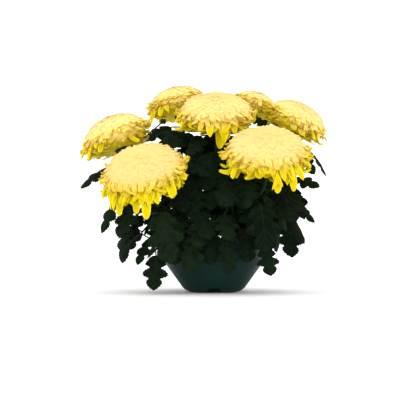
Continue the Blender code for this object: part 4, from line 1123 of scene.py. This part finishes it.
def make_head(bloom, material):
    chance = random.Random(bloom.name)
    shape = Shape("along", "across", "chance", "clear")
    for petals, pattern, profile, twist in (
            (dome_petals(bloom, chance), PETAL, PETAL_PROFILE, 0.12),
            (rim_petals(bloom, chance), SKIRT, RAY_PROFILE, 0.35),
            (skirt_petals(bloom, chance), SKIRT, SKIRT_PROFILE, 0.35),
            (under_petals(bloom, chance), SKIRT, SKIRT_PROFILE, 0.10),
            (strap_fellows(bloom, chance), SKIRT, RAY_PROFILE, 0.35),
            (boat_petals(bloom), STRAP, STRAP_PROFILE, 0.20),
            (strap_petals(bloom), STRAP, STRAP_PROFILE, 0.40)):
        for curve, side, width, channel, clear in petals:
            way = (curve[2] - curve[0]).normalized()
            side = Matrix.Rotation(swing(chance, twist), 3, way) @ side
            add_blade(shape, pattern, curve, side, width, profile, channel, PETAL_THICKNESS,
                      chance=chance.random(), clear=clear)
    shape.add(*head_core(bloom.radius * MM), along=0.5, chance=0.5, clear=NEVER_CLEAR)
    set_tones(shape, bloom)
    frame = np.array(head_frame(bloom))
    shape.points = [points @ frame[:3, :3].T + frame[:3, 3] for points in shape.points]
    shape.finish("head_" + bloom.name, [material], "bloom_" + bloom.name)


# Pot and soil

def rounded_foot(radius, rounding, height, steps):
    points = []
    for step in range(steps + 1):
        turn = WALL_SLOPE * (1 - step / steps)
        points.append((radius + rounding * math.sin(turn), height + rounding * (1 - math.cos(turn))))
    return points + [(0.0, height)]


def slope_height(start, radius):
    return start[1] + (radius - start[0]) * math.tan(WALL_SLOPE)


def pot_outside():
    foot = rounded_foot(FOOT_RADIUS, FOOT_ROUNDING, 0.0, 10)
    band_height = slope_height(foot[0], BAND_RADIUS)
    rim = BAND_RADIUS + BAND_STEP + BAND_FLARE
    top = [(0.0, POT_HEIGHT), (rim + RIM_LIP * 0.5, POT_HEIGHT), (rim + RIM_LIP, POT_HEIGHT - RIM_LIP * 0.5),
           (rim + RIM_LIP, POT_HEIGHT - RIM_LIP * 1.4), (rim, POT_HEIGHT - RIM_LIP * 2.0),
           (BAND_RADIUS + BAND_STEP, band_height + BAND_STEP), (BAND_RADIUS, band_height)]
    return softened(top + foot[:1], POT_EDGE) + foot[1:]


def pot_inside(shrink, top_height):
    inner_radius = BAND_RADIUS + BAND_STEP * 0.5 - WALL_THICKNESS - shrink
    foot = rounded_foot(FOOT_RADIUS, FOOT_ROUNDING - FLOOR_THICKNESS - shrink, FLOOR_THICKNESS + shrink, 4)
    band_height = slope_height(foot[0], inner_radius)
    rise = (top_height - band_height) / (POT_HEIGHT - band_height)
    return [(inner_radius + BAND_FLARE * rise, top_height), (inner_radius, band_height)] + foot


def softened(profile, radius):
    """The profile with each inner corner replaced by a short curve."""
    points = [Vector((*point, 0.0)) for point in profile]
    rows = [profile[0]]
    for before, corner, after in zip(points, points[1:], points[2:]):
        start = corner + (before - corner).normalized() * min(radius, (before - corner).length * 0.4)
        end = corner + (after - corner).normalized() * min(radius, (after - corner).length * 0.4)
        rows += [tuple(bezier((start, corner, end), step / 4))[:2] for step in range(5)]
    return rows + [profile[-1]]


def turned(name, profile, sides):
    """A turned solid from a profile that starts and ends on the axis."""
    mesh = bmesh.new()
    turns = [math.tau * i / sides for i in range(sides)]
    rings = []
    for radius, height in profile:
        if radius == 0.0:
            rings.append([mesh.verts.new((0.0, 0.0, height))] * sides)
        else:
            rings.append([mesh.verts.new((radius * math.cos(turn), radius * math.sin(turn), height))
                          for turn in turns])
    for upper, lower in zip(rings, rings[1:]):
        for i in range(sides):
            j = (i + 1) % sides
            mesh.faces.new(list(dict.fromkeys([upper[i], lower[i], lower[j], upper[j]])))
    bmesh.ops.recalc_face_normals(mesh, faces=mesh.faces)
    return object_of(name, mesh)


def object_of(name, work):
    mesh = bpy.data.meshes.new(name)
    work.to_mesh(mesh)
    work.free()
    obj = bpy.data.objects.new(name, mesh)
    bpy.context.scene.collection.objects.link(obj)
    return obj


def notch_prisms(name, grow):
    work = bmesh.new()
    below, roof = -10 * MM, NOTCH_HEIGHT + grow
    slope = (NOTCH_WIDTH - NOTCH_ROOF_WIDTH) / 2 / NOTCH_HEIGHT
    half_roof = NOTCH_ROOF_WIDTH / 2 + grow
    half_below = half_roof + slope * (roof - below)
    corners = [(-half_below, below), (half_below, below), (half_roof, roof), (-half_roof, roof)]
    for index in range(NOTCH_COUNT):
        turn = Matrix.Rotation(math.tau * index / NOTCH_COUNT - math.pi / 2, 4, "Z")
        near, far = [[work.verts.new(turn @ Vector((end, across, height))) for across, height in corners]
                     for end in (NOTCH_START - grow, FOOT_RADIUS + 2 * FOOT_ROUNDING)]
        work.faces.new(near)
        work.faces.new(far)
        for i in range(4):
            work.faces.new((near[i], near[(i + 1) % 4], far[(i + 1) % 4], far[i]))
    bmesh.ops.recalc_face_normals(work, faces=work.faces)
    return object_of(name, work)


def drain_cutters():
    work = bmesh.new()
    for index in range(NOTCH_COUNT):
        spot = compass(360 * index / NOTCH_COUNT - 90) * DRAIN_FROM_AXIS + UP * DRAIN_MIDDLE
        bmesh.ops.create_cone(work, cap_ends=True, segments=DRAIN_SIDES, radius1=DRAIN_RADIUS,
                              radius2=DRAIN_RADIUS, depth=DRAIN_DEPTH, matrix=Matrix.Translation(spot))
    return object_of("drain_cutters", work)


def subtract(obj, *others):
    """Cuts the others from the object, applies the cuts and removes the others."""
    for other in others:
        cut = obj.modifiers.new("Cut", "BOOLEAN")
        cut.operation = "DIFFERENCE"
        cut.solver = "EXACT"
        cut.object = other
    mesh = bpy.data.meshes.new_from_object(obj.evaluated_get(bpy.context.evaluated_depsgraph_get()))
    obj.modifiers.clear()
    obj.data = mesh
    for other in others:
        bpy.data.objects.remove(other)


def make_pot(material):
    pot = turned("pot_bowl", pot_outside(), POT_SIDES)
    above = POT_HEIGHT + ABOVE_POT
    space = turned("space", [(0.0, above)] + pot_inside(0.0, above), POT_SIDES)
    subtract(space, notch_prisms("raised", WALL_THICKNESS))
    subtract(pot, notch_prisms("notches", 0.0), space, drain_cutters())
    pot.data.materials.clear()
    pot.data.materials.append(material)
    pot.data.polygons.foreach_set("use_smooth", np.ones(len(pot.data.polygons), bool))
    pot.data.polygons.foreach_set("material_index", np.zeros(len(pot.data.polygons), np.int32))
    pot.data.set_sharp_from_angle(angle=POT_SHARP_ANGLE)
    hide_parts("pot")
    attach(pot, "root")


def soil_mass(edge):
    """Points and faces of the soil in the pot, with an uneven top."""
    size, *settings = SOIL_NOISE
    points = []
    for ring in range(1, SOIL_RINGS + 1):
        for side in range(SOIL_SIDES):
            radius = edge * ring / SOIL_RINGS
            turn = math.tau * (side + 0.5 * (ring % 2)) / SOIL_SIDES
            spot = Vector((radius * math.cos(turn), radius * math.sin(turn), SOIL_HEIGHT))
            fade = min(1.0, (SOIL_RINGS - ring) / SOIL_FADE)
            points.append(spot + UP * (noise.fractal(spot / size, *settings) * SOIL_ROUGHNESS * fade))
    last = len(points) - SOIL_SIDES
    low = SOIL_HEIGHT - SOIL_DEPTH
    points += [Vector((p.x * SOIL_NARROWING, p.y * SOIL_NARROWING, low)) for p in points[last:]]
    points += [UP * SOIL_HEIGHT, UP * low]
    top, bottom = len(points) - 2, len(points) - 1
    faces = []
    for ring in range(SOIL_RINGS - 1):
        for side in range(SOIL_SIDES):
            a, b = ring * SOIL_SIDES + side, ring * SOIL_SIDES + (side + 1) % SOIL_SIDES
            c, d = b + SOIL_SIDES, a + SOIL_SIDES
            faces += [(a, d, c), (a, c, b)] if ring % 2 else [(a, d, b), (b, d, c)]
    for side in range(SOIL_SIDES):
        other = (side + 1) % SOIL_SIDES
        a, b = last + side, last + other
        c, d = b + SOIL_SIDES, a + SOIL_SIDES
        faces += [(a, d, c), (a, c, b), (top, side, other), (bottom, c, d)]
    return points, faces


def make_soil(material):
    """Loose soil: an uneven top with crumbs and bark half sunk into it, over the plain mass in the pot."""
    chance = random.Random(SEED)
    shape = Shape("crumb")
    edge = pot_inside(GAP, SOIL_HEIGHT)[0][0]
    shape.add(*soil_mass(edge), crumb=0.0)
    for index in range(SOIL_CRUMBS):
        work = bmesh.new()
        bmesh.ops.create_icosphere(work, subdivisions=1, radius=1.0)
        size = chance.uniform(*(CRUMB_SIZE if index % 5 else BARK_SIZE)) * MM
        shrink = Vector((1.0, chance.uniform(0.5, 0.9), chance.uniform(0.35, 0.8)))
        turn = Matrix.Rotation(chance.uniform(0, math.tau), 3, "Z")
        turn = turn @ Matrix.Rotation(swing(chance, 0.5), 3, "X")
        reach = edge * CRUMB_REACH * math.sqrt(chance.random())
        spot = compass(chance.uniform(0, 360)) * reach + UP * (SOIL_HEIGHT + size * CRUMB_RISE)
        crumb = []
        for vert in work.verts:
            rough = Vector([v * s * size * chance.uniform(0.8, 1.1) for v, s in zip(vert.co, shrink)])
            crumb.append(turn @ rough + spot)
        faces = [[vert.index for vert in face.verts] for face in work.faces]
        shape.add(crumb, faces, crumb=chance.uniform(0.2, 1.0))
        work.free()
    shape.finish("potting_mix", [material], "soil")


# Materials

class Surface:
    """A node material round one Principled shader."""

    def __init__(self, name, roughness, specular):
        self.material = bpy.data.materials.new(name)
        self.material.use_nodes = True
        self.tree = self.material.node_tree
        self.shader = self.tree.nodes["Principled BSDF"]
        self.shader.inputs["Roughness"].default_value = roughness
        self.shader.inputs["Specular IOR Level"].default_value = specular

    def put(self, value, socket):
        if isinstance(value, bpy.types.NodeSocket):
            self.tree.links.new(value, socket)
        elif isinstance(value, tuple):
            socket.default_value = (*value, 1.0)
        else:
            socket.default_value = value

    def node(self, kind, **settings):
        node = self.tree.nodes.new("ShaderNode" + kind)
        for name, value in settings.items():
            setattr(node, name, value)
        return node

    def attribute(self, name):
        return self.node("Attribute", attribute_name=name).outputs["Fac"]

    def height(self):
        """Height above the ground in metres."""
        spot = self.node("TexCoord").outputs["Object"]
        node = self.node("SeparateXYZ")
        self.put(spot, node.inputs[0])
        return node.outputs["Z"]

    def noise(self, size, detail=3.0, roughness=0.55):
        """Noise whose features are about that many metres wide."""
        node = self.node("TexNoise")
        self.put(self.node("TexCoord").outputs["Object"], node.inputs["Vector"])
        for name, value in (("Scale", 1 / size), ("Detail", detail), ("Roughness", roughness)):
            self.put(value, node.inputs[name])
        return node.outputs["Fac"]

    def stretch(self, value, low, high, start=0.0, end=1.0):
        node = self.node("MapRange", interpolation_type="SMOOTHSTEP")
        for socket, number in zip(node.inputs[:5], (value, low, high, start, end)):
            self.put(number, socket)
        return node.outputs["Result"]

    def blend(self, share, first, second, kind="MIX"):
        node = self.node("Mix", data_type="RGBA", blend_type=kind)
        for index, value in ((0, share), (6, first), (7, second)):
            self.put(value, node.inputs[index])
        return node.outputs[2]

    def combine(self, kind, first, second=0.0):
        node = self.node("Math", operation=kind)
        self.put(first, node.inputs[0])
        self.put(second, node.inputs[1])
        return node.outputs[0]

    def colour(self, value):
        self.put(value, self.shader.inputs["Base Color"])

    def bump(self, height, distance, strength):
        node = self.node("Bump")
        for name, value in (("Distance", distance), ("Strength", strength), ("Height", height)):
            self.put(value, node.inputs[name])
        self.put(node.outputs["Normal"], self.shader.inputs["Normal"])


def petal_material():
    """Clear yellow petals, their own colour, under painted light: a washed-out cream over each head's top,
    lighter on shaded flanks, lighter lemon roots and paler highlights at tips and edges. Painted shade gives
    the yellow petals' roots a deeper orange.
    """
    surface = Surface("petal", 0.6, 0.04)
    blend, stretch, combine = surface.blend, surface.stretch, surface.combine
    along, across = surface.attribute("along"), surface.attribute("across")
    tone, chance = surface.attribute("tone"), surface.attribute("chance")
    edge = combine("ABSOLUTE", across)
    # Painted light: a lighter cream on the shaded flanks.
    pale = blend(surface.attribute("flank"), PETAL_CREAM_PAINTED_LIGHT, PETAL_FLANK_PAINTED_LIGHT)
    # Painted light: the roots, in the crevices between petals, are a lighter lemon.
    lit_cream = blend(stretch(along, 0.2, 0.65), PETAL_ROOT_PAINTED_LIGHT, pale)
    # Painted highlight towards the tips and edges of the cream petals.
    tip = combine("MULTIPLY", stretch(edge, 0.35, 1.0), stretch(along, 0.4, 0.9))
    lit_cream = blend(tip, lit_cream, PETAL_TIP_PAINTED_HIGHLIGHT)
    # Painted highlight along the edges of the yellow petals.
    clear_yellow = blend(stretch(edge, 0.45, 0.95), PETAL_OUTER, PETAL_OUTER_EDGE_HIGHLIGHT)
    # Painted shade: deeper orange towards the roots of the yellow petals, where they lie under others.
    clear_yellow = blend(stretch(along, 0.15, 0.55, 1.0, 0.0), clear_yellow, PETAL_ROOT_PAINTED_SHADE)
    # Painted light: the cream is the lit, washed-out look of the yellow petals over each head's top.
    colour = blend(tone, lit_cream, clear_yellow)
    surface.colour(blend(stretch(chance, 0.0, 1.0, 0.0, 0.16), colour, PETAL_SHADE, "MULTIPLY"))
    ribs = combine("SINE", combine("MULTIPLY", across, 15.0))
    surface.bump(combine("ADD", ribs, surface.noise(1.2 * MM, 2.0)), 0.08 * MM, 0.5)
    return surface.material


def leaf_material():
    """Dark matt green with a little blue, paler veins and a greyish underside."""
    surface = Surface("leaf", 0.65, 0.02)
    blend, stretch, combine = surface.blend, surface.stretch, surface.combine
    vein, under, tone = (surface.attribute(name) for name in ("vein", "under", "tone"))
    patchy = surface.noise(9 * MM)
    green = blend(tone, LEAF_DARK, LEAF_LIGHT)
    green = blend(stretch(patchy, 0.35, 0.7), green, LEAF_BLUE)
    green = blend(stretch(vein, 0.0, 1.0, 0.42, 0.0), green, LEAF_VEIN)
    below = blend(stretch(vein, 0.0, 1.0, 0.5, 0.0), LEAF_UNDER, LEAF_UNDER_VEIN)
    surface.colour(blend(under, green, below))
    grain = surface.noise(0.9 * MM, 2.0)
    surface.bump(combine("ADD", combine("MULTIPLY", vein, 2.0), grain), 0.18 * MM, 0.6)
    return surface.material


def stalk_material():
    surface = Surface("leaf_stalk", 0.6, 0.05)
    patchy = surface.stretch(surface.noise(5 * MM), 0.35, 0.65)
    surface.colour(surface.blend(patchy, STALK_GREEN, STALK_DARK))
    surface.bump(surface.noise(0.8 * MM, 2.0), 0.1 * MM, 0.5)
    return surface.material


def stem_material():
    """Green stems that turn brown and woody near the soil; a bud's tip shows yellow."""
    surface = Surface("stem", 0.65, 0.08)
    blend, stretch, combine = surface.blend, surface.stretch, surface.combine
    height = combine("ADD", surface.height(), combine("MULTIPLY", surface.noise(12 * MM), WOOD_UNEVEN))
    wood = stretch(height, WOOD_END, WOOD_START, 1.0, 0.0)
    green = blend(stretch(surface.noise(3 * MM), 0.3, 0.7), STEM_GREEN, STEM_DARK)
    colour = blend(wood, green, STEM_WOOD)
    surface.colour(blend(stretch(surface.attribute("tone"), 0.8, 0.95), colour, PETAL_OUTER))
    surface.bump(surface.noise(1.1 * MM), 0.15 * MM, 0.7)
    return surface.material


def pot_material():
    """Dark green moulded plastic with a fine grain and a few paler scuffs."""
    surface = Surface("pot_plastic", 0.4, 0.08)
    scuffs = surface.stretch(surface.noise(14 * MM, 6.0, 0.7), 0.56, 0.74, 0.0, 0.5)
    surface.colour(surface.blend(scuffs, POT_GREEN, POT_SCUFF))
    sheen = surface.stretch(surface.noise(6 * MM, 4.0), 0.3, 0.7, 0.34, 0.48)
    surface.put(sheen, surface.shader.inputs["Roughness"])
    surface.bump(surface.noise(0.6 * MM, 2.0), 0.03 * MM, 0.6)
    return surface.material


def soil_material():
    surface = Surface("potting_soil", 0.95, 0.1)
    fine = surface.noise(2.5 * MM, 4.0, 0.65)
    colour = surface.blend(surface.stretch(fine, 0.3, 0.7), SOIL_DARK, SOIL_LIGHT)
    bark = surface.stretch(surface.attribute("crumb"), 0.5, 1.0, 0.0, 0.7)
    surface.colour(surface.blend(bark, colour, SOIL_BARK))
    surface.bump(fine, 0.6 * MM, 0.9)
    return surface.material


# Studio

def make_floor():
    work = bmesh.new()
    bmesh.ops.create_circle(work, cap_ends=True, segments=96, radius=FLOOR_RADIUS)
    floor = object_of("floor", work)
    floor.location.z = -0.2 * MM
    surface = Surface("floor_white", 0.9, 0.05)
    surface.colour(surface.blend(surface.noise(0.4, 2.0), FLOOR_WHITE, FLOOR_OFF_WHITE))
    floor.data.materials.append(surface.material)


def aimed(name, data, place, target):
    obj = bpy.data.objects.new(name, data)
    obj.location = place
    obj.rotation_euler = (Vector(target) - Vector(place)).to_track_quat("-Z", "Y").to_euler()
    bpy.context.scene.collection.objects.link(obj)
    return obj


def add_light(name, place, target, size, power):
    light = bpy.data.lights.new(name, "AREA")
    light.size = size
    light.energy = power
    aimed(name, light, place, target)


def make_studio():
    make_floor()
    world = bpy.data.worlds.new("studio")
    world.use_nodes = True
    background = world.node_tree.nodes["Background"]
    background.inputs["Color"].default_value = (1.0, 1.0, 1.0, 1.0)
    background.inputs["Strength"].default_value = WORLD_LIGHT
    bpy.context.scene.world = world
    for light in LIGHTS:
        add_light(*light)
    bpy.context.scene.view_settings.view_transform = "Standard"
    camera = bpy.data.cameras.new("photo_camera")
    camera.sensor_width = SENSOR
    camera.lens = SENSOR * (Vector(CAMERA_TARGET) - Vector(CAMERA_PLACE)).length / PHOTO_WIDTH
    bpy.context.scene.camera = aimed("photo_camera", camera, CAMERA_PLACE, CAMERA_TARGET)


def main():
    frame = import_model()
    make_studio()
    green = [None, None, None]
    green[LEAF], green[STALK], green[STEM] = leaf_material(), stalk_material(), stem_material()
    leaves = grow_leaves(frame["nodes"])
    chance = random.Random(SEED)
    patterns = [LeafPattern(chance) for _ in range(LEAF_PATTERNS)]
    yellow = petal_material()
    for bloom in BLOOMS:
        make_plant_stem(bloom, leaves, patterns, green)
        make_head(bloom, yellow)
    make_pot(pot_material())
    make_soil(soil_material())


main()
